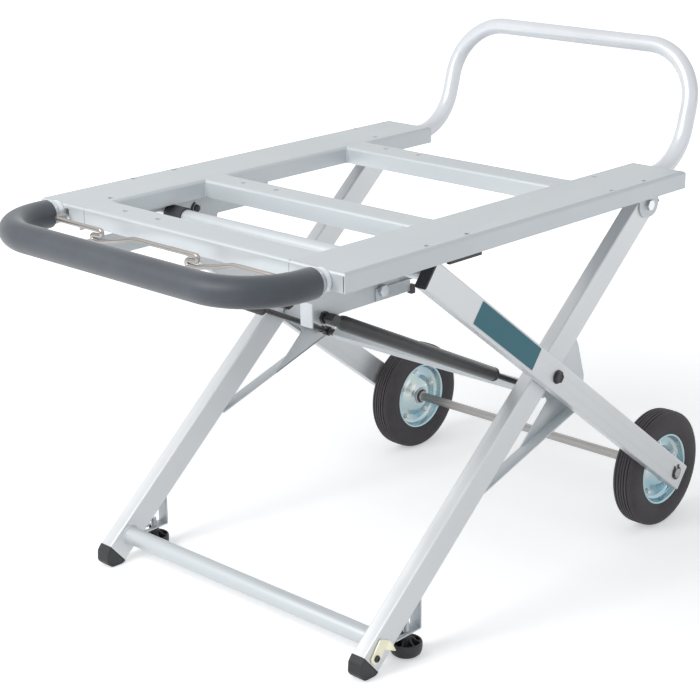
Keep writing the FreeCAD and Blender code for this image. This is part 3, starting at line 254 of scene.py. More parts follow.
# %% Drawn aluminium for the legs
def drawn_aluminium(name, turned, dull, clear):
    material, surface = shader(name, clear, 0.4, 0.4, Anisotropic=0.4)
    tree = material.node_tree
    place = object_place(tree, (2.0, 420.0, 420.0), (0, turned, 0))
    lines = noise(tree, place, 1.0, 3.0, 0.7)
    clouds = noise(tree, object_place(tree), 9.0, 3.0)
    tone = blend_colours(tree, ramp(tree, lines, 0.25, 0.75, 0.0, 1.0), dull, clear)
    # painted highlight: sharp outer edges get a pale colour
    bright = blend_colours(tree, edge_highlight_mask(tree), tone, (0.78, 0.795, 0.81))
    dress(tree, surface, bright, ramp(tree, clouds, 0.3, 0.7, 0.3, 0.42))
    bump(tree, surface, lines, 0.00008, 0.4)
    return material


# The wheel legs get a darker copy of the same aluminium, as painted shade: their sides face away from the key
# lamp.
wheel_leg_metal_shaded = drawn_aluminium("wheel_leg_aluminium_shaded", -LEG_TURN, (0.5, 0.525, 0.545), (0.6, 0.62, 0.635))
front_leg_metal = drawn_aluminium("front_leg_aluminium", FRONT_TURN, (0.6, 0.625, 0.645),
                                  (0.71, 0.73, 0.745))
print("Made", wheel_leg_metal_shaded.name, front_leg_metal.name)

# %% [markdown]
# Bright zinc, polished steel and the yellow zinc of the hook are metals with a little
# colour drift. Zinc plate on pressed rims also shows a blue cast with straw patches.

# %% Plated and bare steel
def plated_steel(name, colour, tint, rough, scale=30.0, turned=0.0, stretch=(1, 1, 1)):
    material, surface = shader(name, colour, rough, 0.9)
    tree = material.node_tree
    place = object_place(tree, stretch, (0, turned, 0))
    clouds = noise(tree, place, scale, 4.0, 0.6)
    fine = noise(tree, place, scale * 22.0, 2.0)
    tone = blend_colours(tree, ramp(tree, clouds, 0.35, 0.68, 0.0, 1.0), colour, tint)
    # painted highlight: sharp outer edges get a brighter colour
    bright = tuple(min(1.0, 1.2 * part) for part in colour)
    tone_with_edge_highlight = blend_colours(tree, edge_highlight_mask(tree), tone, bright)
    dress(tree, surface, tone_with_edge_highlight, ramp(tree, clouds, 0.3, 0.7, rough * 0.8, rough * 1.25))
    bump(tree, surface, fine, 0.00006, 0.3)
    return material


bolt_zinc = plated_steel("bolt_zinc", (0.6, 0.62, 0.64), (0.52, 0.54, 0.58), 0.34, 60.0)
rim_zinc = plated_steel("rim_zinc", (0.38, 0.55, 0.63), (0.62, 0.66, 0.62), 0.18, 16.0)
wire_steel = plated_steel("wire_steel", (0.44, 0.42, 0.4), (0.36, 0.345, 0.33), 0.34, 12.0)
axle_steel = plated_steel("axle_steel", (0.42, 0.41, 0.4), (0.22, 0.21, 0.2), 0.34, 1.0, 0.0, (260, 6, 260))
rod_dark = plated_steel("rod_dark", (0.045, 0.043, 0.045), (0.07, 0.068, 0.07), 0.3, 30.0)
bearing_steel = plated_steel("bearing_steel", (0.42, 0.42, 0.43), (0.34, 0.34, 0.35), 0.3, 80.0)
hook_zinc = plated_steel("hook_zinc", (0.74, 0.72, 0.54), (0.68, 0.69, 0.6), 0.4, 60.0)
print("Made seven metals")

# %% [markdown]
# The dark pieces differ mostly in how they scatter light: foam has a soft sheen and open
# cells, the tyre is dusty rubber, and the caps and knobs are moulded plastic with a grain.

# %% Rubber, foam, plastic and black paint
def dark_finish(name, colour, light, rough, grain, depth, cloud_scale=12.0, **values):
    material, surface = shader(name, colour, rough, 0.0, **values)
    tree = material.node_tree
    place = object_place(tree)
    clouds = noise(tree, place, cloud_scale, 4.0, 0.6)
    cells = noise(tree, place, grain, 3.0, 0.6)
    tone = blend_colours(tree, ramp(tree, clouds, 0.35, 0.7, 0.0, 1.0), colour, light)
    # painted highlight: sharp outer edges of the dark pieces get a lighter colour
    bright = tuple(min(1.0, 1.5 * part) for part in light)
    tone_with_edge_highlight = blend_colours(tree, edge_highlight_mask(tree, 0.54, 0.64), tone, bright)
    dress(tree, surface, tone_with_edge_highlight, ramp(tree, cells, 0.3, 0.7, rough - 0.06, min(1.0, rough + 0.08)))
    bump(tree, surface, cells, depth, 0.5)
    return material


foam_dark = dark_finish("foam_dark", (0.05, 0.06, 0.074), (0.072, 0.085, 0.102), 0.5, 900.0, 0.0003,
                        Sheen_Weight=0.35, Sheen_Roughness=0.5)
tyre_rubber = dark_finish("tyre_rubber", (0.05, 0.044, 0.048), (0.078, 0.07, 0.075), 0.74, 500.0, 0.00025,
                          Sheen_Weight=0.1, Sheen_Roughness=0.5)
cap_plastic = dark_finish("cap_plastic", (0.018, 0.018, 0.02), (0.03, 0.03, 0.033), 0.5, 1200.0, 0.00012)
strip_plastic = dark_finish("strip_plastic", (0.022, 0.022, 0.024), (0.034, 0.034, 0.036), 0.55, 900.0,
                            0.00012)
gas_paint = dark_finish("gas_paint", (0.012, 0.012, 0.014), (0.018, 0.019, 0.021), 0.34, 700.0, 0.00005,
                        Coat_Weight=0.1, Coat_Roughness=0.25)
black_paint = dark_finish("black_paint", (0.02, 0.02, 0.022), (0.03, 0.03, 0.032), 0.36, 900.0, 0.00008)
print("Made six dark finishes")

# %% [markdown]
# A bare plate in teal sits on the near wheel leg. It carries no words, only its own film:
# smooth, slightly glossy, with a paler rim where the print stops short of the edge.

# %% The plate's film
def plate_film(name, colour):
    material, surface = shader(name, colour, 0.45, 0.0, Coat_Weight=0.05, Coat_Roughness=0.2)
    tree = material.node_tree
    clouds = noise(tree, object_place(tree), 30.0, 3.0)
    dull = tuple(0.9 * part for part in colour)
    tone = blend_colours(tree, ramp(tree, clouds, 0.3, 0.7, 0.0, 1.0), dull, colour)
    dress(tree, surface, tone, ramp(tree, clouds, 0.3, 0.7, 0.28, 0.4))
    bump(tree, surface, noise(tree, object_place(tree), 700.0, 2.0), 0.00004, 0.3)
    return material


teal_film = plate_film("plate_teal", (0.003, 0.165, 0.22))
plate_rim = plate_film("plate_rim", (0.62, 0.7, 0.72))
print("Made", teal_film.name, plate_rim.name)

# %% [markdown]
# Every node of the frame gets its finish here. The nodes keep their meshes; only the
# material slots change. Pieces that are remade further down hide their nodes later.

# %% Finishes for the nodes
FINISHES = {
    frame_silver: ["side_rail_left", "side_rail_right", "front_cross_rail", "middle_cross_rail",
                   "rear_cross_rail", "track_plate_left", "track_plate_right", "track_stops",
                   "rear_hanger_left", "rear_hanger_right"],
    steel_silver: ["foot_cross_tube", "square_cross_tube", "gusset_left", "gusset_right", "slide_tube",
                   "levelling_brackets"],
    handle_silver: ["front_handle_tube", "rear_handle_tube", "handle_collars"],
    wheel_leg_metal_shaded: ["wheel_leg_left", "wheel_leg_right"],
    front_leg_metal: ["front_leg_left", "front_leg_right"],
    bolt_zinc: ["track_bolts", "hinge_bolts", "catch_bolts", "slide_pins", "axle_washers", "catch_left",
                "catch_right"],
    wire_steel: ["release_lever"],
    axle_steel: ["axle", "axle_collars"],
    rod_dark: ["gas_rod_left", "gas_rod_right"],
    bearing_steel: ["wheel_bearing_left", "wheel_bearing_right"],
    hook_zinc: ["transport_hook"],
    rim_zinc: ["rim_left", "rim_right"],
    tyre_rubber: ["tyre_left", "tyre_right", "stop_buffers"],
    foam_dark: ["foam_grip"],
    cap_plastic: ["foot_caps", "front_leg_plugs", "wheel_leg_plugs", "levelling_foot_left",
                  "levelling_foot_right", "slide_bushes"],
    strip_plastic: ["rail_strips"],
    gas_paint: ["gas_cylinder_left", "gas_cylinder_right"],
    black_paint: ["leg_cross_bolts", "gas_front_studs", "gas_rear_studs", "axle_clips", "hook_screw"],
}
for material, names in FINISHES.items():
    for name in names:
        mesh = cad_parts[name].data
        mesh.materials.clear()
        mesh.materials.append(material)
print("Gave finishes to", sum(len(names) for names in FINISHES.values()), "nodes")

# %% [markdown]
# Most pieces below are made in mesh code and then finished in the same way: smooth
# shading with sharp creases kept by angle, one material, and a body to ride on. One
# helper does this, so every piece is a plain mesh at the origin with its place inside it.

# %% Helper that finishes a piece
def add_piece(name, mesh, material, body, replaced=(), crease=38):
    """Turn a mesh into a finished piece that rides on a body."""
    mesh.name = name
    mesh.materials.clear()
    mesh.materials.append(material)
    mesh.shade_smooth()
    mesh.set_sharp_from_angle(angle=math.radians(crease))
    piece = new_object(name, mesh)
    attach(piece, body)
    if replaced:
        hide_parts(*replaced)
    print(name, "has", len(mesh.polygons), "faces and rides on", body)
    return piece


def to_mesh(shape, name="piece"):
    """Close a bmesh: faces outwards, then into a plain mesh."""
    bmesh.ops.recalc_face_normals(shape, faces=shape.faces)
    mesh = bpy.data.meshes.new(name)
    shape.to_mesh(mesh)
    shape.free()
    return mesh


SIDES = {"left": 1, "right": -1}

# %% [markdown]
# Wheels, bolt heads, knobs and gas springs are turned parts. A half outline, given as
# distances along an axle and radii, is turned about that axle: one ring of points for each
# corner of the outline. A radius of zero closes the shape with a single point, and six
# steps in place of many give a hexagon with a chamfer.

# %% Helper for turned shapes
def turned(shape, outline, centre, axis, steps=96, closed=False, start=0.0):
    """Add a shape turned about an axis to a bmesh; the outline is in millimetres."""
    along = Vector(axis).normalized()
    side = Vector((0, 0, 1)) if abs(along.z) < 0.9 else Vector((1, 0, 0))
    side = (side - along * side.dot(along)).normalized()
    third = along.cross(side)
    rings = []
    for distance, radius in outline:
        middle = centre + along * distance * MM
        if radius == 0:
            rings.append([shape.verts.new(middle)])
            continue
        angles = [start + 2 * math.pi * step / steps for step in range(steps)]
        rings.append([shape.verts.new(middle + (side * math.cos(a) + third * math.sin(a)) * radius * MM)
                      for a in angles])
    pairs = list(zip(rings, rings[1:])) + ([(rings[-1], rings[0])] if closed else [])
    for first, second in pairs:
        for step in range(steps):
            after = (step + 1) % steps
            corners = [first[step % len(first)], first[after % len(first)],
                       second[after % len(second)], second[step % len(second)]]
            corners = list(dict.fromkeys(corners))
            if len(corners) > 2:
                shape.faces.new(corners)
    return shape


def both_ways(half):
    """A closed outline from its outer half, mirrored about the middle of the axle."""
    return half + [(-distance, radius) for distance, radius in reversed(half)]


print("A turned shape needs an outline, a centre and an axis")

# %% [markdown]
# Flat pieces such as the plate, the caps and the hook start as an outline whose corners
# are rounded one by one. The outline is then given a thickness, and its rims are eased
# with a small bevel so that they catch the light as a stamped or moulded edge does.

# %% Helpers for flat pieces
def rounded(corners, steps=6):
    """Round each corner (across, along, radius) of a flat outline with an arc."""
    outline = []
    for before, corner, after in zip(corners[-1:] + corners[:-1], corners, corners[1:] + corners[:1]):
        here = Vector(corner[:2])
        into = (Vector(before[:2]) - here).normalized()
        out = (Vector(after[:2]) - here).normalized()
        half = into.angle(out) / 2
        reach = corner[2] / math.tan(half)
        centre = here + (into + out).normalized() * (corner[2] / math.sin(half))
        first, last = here + into * reach - centre, here + out * reach - centre
        outline += [centre + first.lerp(last, step / steps).normalized() * corner[2]
                    for step in range(steps + 1)]
    return outline


def slab(shape, outline, place, low, high, ease=0.5):
    """Add a flat piece to a bmesh, between two heights, with eased rims."""
    below = [shape.verts.new(place(a, b, low)) for a, b in outline]
    above = [shape.verts.new(place(a, b, high)) for a, b in outline]
    faces = [shape.faces.new(below), shape.faces.new(above)]
    rims = list(faces[0].edges) + list(faces[1].edges)
    count = len(outline)
    for step in range(count):
        after = (step + 1) % count
        shape.faces.new((below[step], below[after], above[after], above[step]))
    if ease:
        bmesh.ops.bevel(shape, geom=rims, offset=ease * MM, segments=2, profile=0.6, affect="EDGES")
    return shape


print("A slab needs an outline, a place for it and two heights")

# %% [markdown]
# Geometry Nodes make what follows a path or repeats. Each tree is built here in code,
# with named inputs, and ends in Realize Instances and Set Material. A helper puts the
# tree on a small mesh, sets its inputs by their identifiers, evaluates it once and keeps
# the result as a plain mesh, so that nothing live is left on the piece.

# %% Helpers for geometry trees
def new_tree(name, inputs):
    """A geometry tree with named inputs; gives the tree, its inputs and its output."""
    tree = bpy.data.node_groups.new(name, "GeometryNodeTree")
    tree.interface.new_socket("Geometry", in_out="INPUT", socket_type="NodeSocketGeometry")
    for title, (kind, value) in inputs.items():
        socket = tree.interface.new_socket(title, in_out="INPUT", socket_type="NodeSocket" + kind)
        if value is not None:
            socket.default_value = value
    tree.interface.new_socket("Geometry", in_out="OUTPUT", socket_type="NodeSocketGeometry")
    return tree, tree.nodes.new("NodeGroupInput").outputs, tree.nodes.new("NodeGroupOutput").inputs


def end_tree(tree, given, result, geometry):
    """Realize Instances and Set Material close every tree."""
    real = node(tree, "GeometryNodeRealizeInstances", Geometry=geometry)
    painted = node(tree, "GeometryNodeSetMaterial", Geometry=real.outputs[0], Material=given["Material"])
    tree.links.new(painted.outputs[0], result["Geometry"])


def grow(tree, mesh, **values):
    """Run a tree on a mesh and give the result as a plain mesh."""
    holder = new_object("holder", mesh)
    modifier = holder.modifiers.new("tree", "NODES")
    modifier.node_group = tree
    identifiers = {item.name: item.identifier for item in tree.interface.items_tree
                   if item.in_out == "INPUT"}
    for title, value in values.items():
        modifier[identifiers[title.replace("_", " ")]] = value
    evaluated = holder.evaluated_get(bpy.context.evaluated_depsgraph_get())
    made = bpy.data.meshes.new_from_object(evaluated)
    bpy.data.objects.remove(holder)
    return made


def path_mesh(points):
    """A chain of edges through (x, y, z, bend radius) corners, in millimetres."""
    mesh = bpy.data.meshes.new("path")
    edges = [(i, i + 1) for i in range(len(points) - 1)]
    mesh.from_pydata([spot(*point[:3]) for point in points], edges, [])
    bends = mesh.attributes.new("bend", "FLOAT", "POINT")
    bends.data.foreach_set("value", [point[3] * MM for point in points])
    return mesh


print("Trees are built in code and leave plain meshes")

# %% [markdown]
# The two handles, the padded grip and the release wire are all one idea: a round bar
# that runs straight and turns round corners of a known radius. The tree makes a curve
# from a chain of corners, fillets each with its own bend, and sweeps a circle along it.

# %% Tree for bent round bars
def bar_tree():
    tree, given, result = new_tree("bent_round_bar", {
        "Bar radius": ("Float", 0.014), "Sides": ("Int", 40), "Steps per bend": ("Int", 16),
        "Material": ("Material", None)})
    line = node(tree, "GeometryNodeMeshToCurve", Mesh=given["Geometry"])
    bend = node(tree, "GeometryNodeInputNamedAttribute", Name="bend")
    fillet = tree.nodes.new("GeometryNodeFilletCurve")
    fillet.mode = "POLY"
    put(tree, fillet.inputs["Curve"], line.outputs[0])
    put(tree, fillet.inputs["Radius"], bend.outputs["Attribute"])
    put(tree, fillet.inputs["Count"], given["Steps per bend"])
    put(tree, fillet.inputs["Limit Radius"], True)
    ring = node(tree, "GeometryNodeCurvePrimitiveCircle", Resolution=given["Sides"],
                Radius=given["Bar radius"])
    swept = node(tree, "GeometryNodeCurveToMesh", Curve=fillet.outputs[0])
    put(tree, swept.inputs["Profile Curve"], ring.outputs[0])
    put(tree, swept.inputs["Fill Caps"], True)
    end_tree(tree, given, result, swept.outputs[0])
    return tree


BAR_TREE = bar_tree()


def bar(name, points, radius, material, body, replaced, sides=40, steps=16, ease=0.0):
    """A bent round bar along corners (x, y, z, bend) in millimetres."""
    mesh = grow(BAR_TREE, path_mesh(points), Bar_radius=radius * MM, Sides=sides,
                Steps_per_bend=steps, Material=material)
    if ease:
        shape = bmesh.new()
        shape.from_mesh(mesh)
        rims = [edge for face in shape.faces if len(face.verts) > 8 for edge in face.edges]
        bmesh.ops.bevel(shape, geom=rims, offset=ease * MM, segments=4, profile=0.5, affect="EDGES")
        mesh = to_mesh(shape)
    return add_piece(name, mesh, material, body, replaced)


def there_and_back(points):
    """Corners from one side, and the same corners mirrored on the way back."""
    return points + [(x, -y, z, bend) for x, y, z, bend in reversed(points)]


print("The bar tree has", len(BAR_TREE.nodes), "nodes")

# %% [markdown]
# The grip is a sleeve of closed cell foam slid over the front handle, with rounded ends
# and a soft, slightly uneven skin. The tube under it shows only beside the frame. The
# rear handle is a tube that steps up behind the wheels, and its bends are generous.

# %% Handles and the foam grip
GRIP_BEND, GRIP_Y, GRIP_FRONT = 97, 283, -132
TUBE_RADIUS, GRIP_RADIUS, GRIP_START, INSIDE = 14, 22, -17, 60
front_bend = (GRIP_FRONT, GRIP_Y, TUBE_Z, GRIP_BEND)
bar("front_tube", there_and_back([(INSIDE, GRIP_Y, TUBE_Z, 0), front_bend]), TUBE_RADIUS, handle_silver,
    "frame", ["front_handle_tube"], steps=20)
grip = bar("grip_foam", there_and_back([(GRIP_START, GRIP_Y, TUBE_Z, 0), front_bend]), GRIP_RADIUS,
           foam_dark, "frame", ["foam_grip"], sides=48, steps=24, ease=4.0)
REAR_Y, FRAME_END = 255.9, 796
bar("rear_tube", there_and_back([
    (FRAME_END - INSIDE, REAR_Y, TUBE_Z, 0), (FRAME_END + 76.6, REAR_Y, TUBE_Z, 90.5),
    (FRAME_END + 129.7, REAR_Y, TUBE_Z + 188.4, 97)]),
    TUBE_RADIUS, handle_silver, "frame", ["rear_handle_tube"], steps=20)

# %% [markdown]
# A wire lever runs beside the grip from catch to catch. It has two finger rests: at each
# the wire folds back on itself once, drops, and climbs slowly to its line again. A small
# jog on each side leads it round the handle's tube into the frame.

# %% Release wire
WIRE_Z, WIRE_X, ARM_Y = TUBE_Z, -30, 255
TAIL_Y = 260.5
FOLD = [(-1, 0, 4), (-3, -8.2, 4), (21, -9.6, 4), (22, -17.4, 4), (3, -17.4, 30), (-46, -7, 60),
        (-74, 0, 60)]
end = [(48, TAIL_Y, WIRE_Z, 0), (-3, TAIL_Y, WIRE_Z, 8), (-10, ARM_Y, WIRE_Z, 8), (WIRE_X, ARM_Y, WIRE_Z, 12)]
folds = [(WIRE_X, start + along, WIRE_Z + rise, bend) for start in (143, -67) for along, rise, bend in FOLD]
other_end = [(x, -y, z, bend) for x, y, z, bend in reversed(end)]
bar("release_wire", end + folds + other_end, 3.75, wire_steel, "release", ["release_lever"],
    sides=20, steps=8)

# %% [markdown]
# Each tyre is solid rubber on a steel rim. Its section bulges at the sidewalls, has round
# shoulders, and its tread is cut by fine grooves that run all the way round.

# %% Tyres
GROOVES = (11.0, 5.2)


def tyre_outline():
    half = [(15.6, 61.4), (18.7, 62.4), (20.0, 65.5), (19.7, 67.6), (20.5, 70.0), (21.3, 76.0),
            (21.4, 83.0), (21.0, 89.0), (20.1, 93.6), (18.6, 97.2), (16.6, 99.5), (14.2, 100.7)]
    for groove in GROOVES:
        half += [(groove + 1.3, 101.1), (groove + 0.8, 99.4), (groove - 0.8, 99.4), (groove - 1.3, 101.4)]
    return both_ways(half + [(1.2, 101.6), (0.7, 100.2)])


AXLE_X, AXLE_Z = AXLE
WHEEL_Y = 278
for side, sign in SIDES.items():
    hub = spot(AXLE_X, sign * WHEEL_Y, AXLE_Z)
    shape = turned(bmesh.new(), tyre_outline(), hub, (0, sign, 0), 144, closed=True)
    add_piece("tyre_rubber_" + side, to_mesh(shape), tyre_rubber, "wheel_" + side,
              ["tyre_" + side], crease=50)

# %% [markdown]
# The rims are two pressed discs: a rolled lip that holds the tyre, a deep well, and a
# domed hub with a ball bearing in it. The two halves are held by small bolts, and a tree
# copies one bolt round the axle.

# %% Tree for copies round an axle
def ring_tree():
    tree, given, result = new_tree("copies_round_an_axle", {
        "Count": ("Int", 5), "Centre": ("Vector", (0, 0, 0)), "Axis": ("Vector", (0, 1, 0)),
        "Material": ("Material", None)})
    index = tree.nodes.new("GeometryNodeInputIndex").outputs[0]
    angle = maths(tree, "MULTIPLY", maths(tree, "DIVIDE", 2 * math.pi, given["Count"]), index)
    rotation = node(tree, "FunctionNodeAxisAngleToRotation", Axis=given["Axis"], Angle=angle)
    points = node(tree, "GeometryNodeMeshLine", Count=given["Count"], Offset=(0, 0, 0))
    put(tree, points.inputs["Start Location"], given["Centre"])
    back = node(tree, "ShaderNodeVectorMath")
    back.operation = "SCALE"
    put(tree, back.inputs[0], given["Centre"])
    put(tree, back.inputs["Scale"], -1.0)
    copy = node(tree, "GeometryNodeTransform", Geometry=given["Geometry"], Translation=back.outputs[0])
    placed = node(tree, "GeometryNodeInstanceOnPoints", Points=points.outputs[0], Instance=copy.outputs[0],
                  Rotation=rotation.outputs[0])
    end_tree(tree, given, result, placed.outputs[0])
    return tree


RING_TREE = ring_tree()
print("The ring tree has", len(RING_TREE.nodes), "nodes")

# %% Rims, rim bolts and bearings
RIM_HALF = [
    (15.4, 61.5), (17.6, 62.6), (19.0, 61.8), (19.3, 60.2), (18.2, 58.9), (15.8, 58.3), (11.0, 57.6),
    (6.6, 56.4), (4.6, 54.0), (4.0, 51.0), (4.0, 41.0), (4.8, 38.6), (8.2, 34.5), (12.4, 30.2),
    (15.6, 25.6), (17.4, 21.0), (18.0, 18.2), (17.4, 15.4),
]
BOLT_CIRCLE = 46.0
for side, sign in SIDES.items():
    body = "wheel_" + side
    hub = spot(AXLE_X, sign * WHEEL_Y, AXLE_Z)
    shape = turned(bmesh.new(), both_ways(RIM_HALF), hub, (0, sign, 0), 128, closed=True)
    add_piece("rim_pressing_" + side, to_mesh(shape), rim_zinc, body, ["rim_" + side],
              crease=60)
    shape = bmesh.new()
    place = hub + Vector((0, 0, BOLT_CIRCLE * MM))
    for way in (1, -1):
        turned(shape, [(3.8, 0), (3.8, 5.4), (5.2, 5.4), (5.2, 0)], place, (0, way, 0), 20)
        turned(shape, [(5.1, 0), (5.1, 4.2), (8.0, 4.2), (8.8, 3.4), (8.8, 0)], place, (0, way, 0), 6)
    bolts = grow(RING_TREE, to_mesh(shape), Count=5, Centre=tuple(hub), Axis=(0, 1, 0), Material=bolt_zinc)
    add_piece("rim_bolts_" + side, bolts, bolt_zinc, body)
    race = both_ways([(18.6, 12.6), (19.4, 13.0), (19.4, 14.6), (18.8, 15.3), (15.0, 15.3)])
    shape = turned(bmesh.new(), race, hub, (0, sign, 0), 64, closed=True)
    inner = both_ways([(21.3, 8.05), (21.3, 10.2), (18.4, 10.2)])
    turned(shape, inner, hub, (0, sign, 0), 64, closed=True)
    add_piece("bearing_races_" + side, to_mesh(shape), bearing_steel, body,
              ["wheel_bearing_" + side])
    seal = both_ways([(17.6, 10.2), (18.5, 10.4), (18.5, 12.8), (17.6, 13.0)])
    shape = turned(bmesh.new(), seal, hub, (0, sign, 0), 48, closed=True)
    add_piece("bearing_seals_" + side, to_mesh(shape), cap_plastic, body)

# %% [markdown]
# The axle is a bright bar with chamfered ends. It stands out of each leg a little and is
# kept there by a dark open ring that snaps onto it.

# %% Axle and its snap rings
axle_middle = spot(AXLE_X, 0, AXLE_Z)
shape = turned(bmesh.new(), both_ways([(325.5, 0), (325.5, 7.0), (324.5, 8.0)]), axle_middle, (0, 1, 0), 48)
add_piece("axle_bar", to_mesh(shape), axle_steel, "wheel_legs", ["axle"])


def snap_ring():
    """An open ring with two ears, flat against the wheel leg."""
    gap = math.radians(26)
    arc = [gap + (2 * math.pi - 2 * gap) * step / 40 for step in range(41)]
    outer = [(11.6 * math.sin(a), 11.6 * math.cos(a)) for a in arc]
    inner = [(8.1 * math.sin(a), 8.1 * math.cos(a)) for a in reversed(arc)]
    first = [(7.4, 13.6), (3.2, 13.2)]
    last = [(-3.2, 13.2), (-7.4, 13.6)]
    return [*outer, *last[::-1], *inner, *first[::-1]]


RING = snap_ring()
shape = bmesh.new()
for sign in SIDES.values():
    slab(shape, RING, beside(upright, sign, AXLE), 321.05, 322.7, 0.3)
add_piece("snap_rings", to_mesh(shape), black_paint, "wheel_legs", ["axle_clips"])

# %% [markdown]
# A narrow spacer sits on the axle at the inner side of each wheel. It is no wider than
# the bearing's inner ring, so the seal and the outer ring stay in view.

# %% Axle spacers
shape = bmesh.new()
for sign in SIDES.values():
    spacer = [(253.2, 8.02), (253.2, 9.2), (253.8, 9.8), (256.5, 9.8), (256.5, 8.02)]
    turned(shape, spacer, axle_middle, (0, sign, 0), 48, closed=True)
add_piece("axle_spacers", to_mesh(shape), axle_steel, "wheel_legs", ["axle_collars"])

# %% [markdown]
# The bolts that join the legs are black: a flanged hexagon head on the outside, a nut on
# the inside and a plain shank between them.

# %% Leg bolts
SHANK = [(271, 0), (271, 6), (321.05, 6), (321.05, 11.2), (321.7, 11.2), (322.4, 9.6), (322.4, 0)]
HEXAGON = [(322.3, 0), (322.3, 10.2), (325.9, 10.2), (327.2, 8.6), (327.2, 6.4), (326.2, 5.6), (326.2, 0)]
NUT = [(261.9, 0), (261.9, 9.6), (263.4, 11.6), (271.2, 11.6), (271.2, 0)]
shape = bmesh.new()
for sign in SIDES.values():
    for outline, steps, start in ((SHANK, 40, 0.0), (HEXAGON, 6, 0.35), (NUT, 6, 0.2)):
        turned(shape, outline, upright(*PIVOT, 0), (0, sign, 0), steps, start=start)
add_piece("leg_bolts", to_mesh(shape), black_paint, "front_legs", ["leg_cross_bolts"],
          crease=25)

# %% [markdown]
# A gas spring is a painted cylinder with a turned-in end, and a dark rod that slides in
# it. Both end in an eye that sits on a stud. The cylinder is hollow, so that the rod and
# its piston have room when the table folds.

# %% Gas springs
GAS_FRONT, GAS_REAR, GAS_Y = (46.0, 544.0), (555.7, 296.5), 255.0
gas_axis = spot(GAS_REAR[0], 0, GAS_REAR[1]) - spot(GAS_FRONT[0], 0, GAS_FRONT[1])
GAS_LENGTH = gas_axis.length / MM
SPRING_EYE = both_ways([(6.0, 5.15), (6.0, 7.6), (5.3, 8.4)])
CYLINDER = [
    (5, 0), (5, 6.2), (11, 6.6), (15, 8.6), (20, 10.4), (25, 11), (383, 11), (384.5, 10.4), (387.5, 10.4),
    (389, 11), (391.2, 11), (395, 8.4), (395, 5.1), (379, 5.1), (379, 9.5), (27, 9.5), (27, 0),
]
ROD = [
    (GAS_LENGTH - 340, 0), (GAS_LENGTH - 340, 9.4), (GAS_LENGTH - 328, 9.4), (GAS_LENGTH - 328, 4.6),
    (GAS_LENGTH - 17, 4.6), (GAS_LENGTH - 16, 6.2), (GAS_LENGTH - 5, 6.2), (GAS_LENGTH - 5, 0),
]
for side, sign in SIDES.items():
    front, rear = (spot(x, sign * GAS_Y, z) for x, z in (GAS_FRONT, GAS_REAR))
    for word, outline, eye_at, paint, slot in (("cylinder", CYLINDER, front, gas_paint, "gas_black"),
                                               ("rod", ROD, rear, rod_dark, "gas_rod_steel")):
        shape = turned(bmesh.new(), outline, front, gas_axis, 40)
        turned(shape, SPRING_EYE, eye_at, (0, 1, 0), 40, closed=True)
        add_piece(f"spring_{word}_{side}", to_mesh(shape), paint, f"gas_{word}_{side}",
                  [f"gas_{word}_{side}"])

# %% [markdown]
# Each levelling foot is a moulded disc with a raised rim. Ribs run from its hub to the
# rim and leave pockets between them; one rib is drawn and the ring tree copies it. A
# plated stem screws the foot up and down in its bracket.

# %% Levelling feet
FOOT_X, FOOT_Y = 161, 286.5
DISC = [
    (0.0, 0), (0.0, 15.0), (1.6, 19.5), (4.5, 22.6), (9.0, 24.2), (14.0, 24.9), (20.0, 24.9), (22.2, 24.2),
    (22.8, 22.6), (21.8, 21.4), (15.5, 21.0), (15.0, 19.8), (15.0, 10.2), (17.0, 9.4), (30.0, 8.6),
    (36.4, 8.2), (36.6, 6.0), (36.6, 0),
]
RIB = [(8, 14.6), (21.8, 14.6), (21.8, 21.6), (17, 22.6), (9, 29.5), (8, 29.5)]
for side, sign in SIDES.items():
    body = "levelling_foot_" + side
    foot = spot(FOOT_X, sign * FOOT_Y, 0)
    shape = turned(bmesh.new(), DISC, foot, (0, 0, 1), 72)
    rib = bmesh.new()

    def place(a, b, y, sign=sign):
        return spot(FOOT_X + a, sign * FOOT_Y + y, b)

    slab(rib, RIB, place, -1.6, 1.6, 0.5)
    ribs = grow(RING_TREE, to_mesh(rib), Count=7, Centre=tuple(foot), Axis=(0, 0, 1), Material=cap_plastic)
    shape.from_mesh(ribs)
    add_piece("foot_disc_" + side, to_mesh(shape), cap_plastic, body, [body])
    thread = [(36.0, 0), (36.0, 4.8)]
    for turn_at in range(12):
        thread += [(38.0 + 1.3 * turn_at, 4.9), (38.65 + 1.3 * turn_at, 4.3)]
    shape = turned(bmesh.new(), thread + [(53.8, 4.6), (54.0, 0)], foot, (0, 0, 1), 28)
    add_piece("foot_stem_" + side, to_mesh(shape), bolt_zinc, body)

# %% [markdown]
# A strip bent into an angle carries each levelling foot behind its leg. The stem stands in
# a slot that is open to the front, under the leg.

# %% Levelling brackets
WALL_X, WALL_THICK, PLATE_LOW = 184.0, 2.4, 37.0
arc = [-math.pi / 2 + math.pi * step / 12 for step in range(13)]
slot = [(FOOT_X + 5.1 * math.cos(a), FOOT_Y + 5.1 * math.sin(a)) for a in arc]
plan = [(127, 274.2), (WALL_X - 1, 276), (WALL_X - 1, 297), (127, 298.8), (127, slot[-1][1]), *slot[::-1],
        (127, slot[0][1])]
wall = [(WALL_X, PLATE_LOW + 50.4, 0.5), (WALL_X, PLATE_LOW, 1.8), (WALL_X - WALL_THICK, PLATE_LOW, 0.2),
        (WALL_X - WALL_THICK, PLATE_LOW + 48.3, 0.3)]
shape = bmesh.new()
for sign in SIDES.values():
    slab(shape, plan, lambda a, b, z, sign=sign: spot(a, sign * b, z), PLATE_LOW, PLATE_LOW + WALL_THICK,
         0.3)
    slab(shape, rounded(wall), beside(upright, sign), 276, 297, 0.2)
add_piece("bent_brackets", to_mesh(shape), steel_silver, "front_legs", ["levelling_brackets"])

# %% [markdown]
# The caps close the lower ends of the front legs. They are moulded to the leg's own
# width, round off to the front and stand flat on the floor.

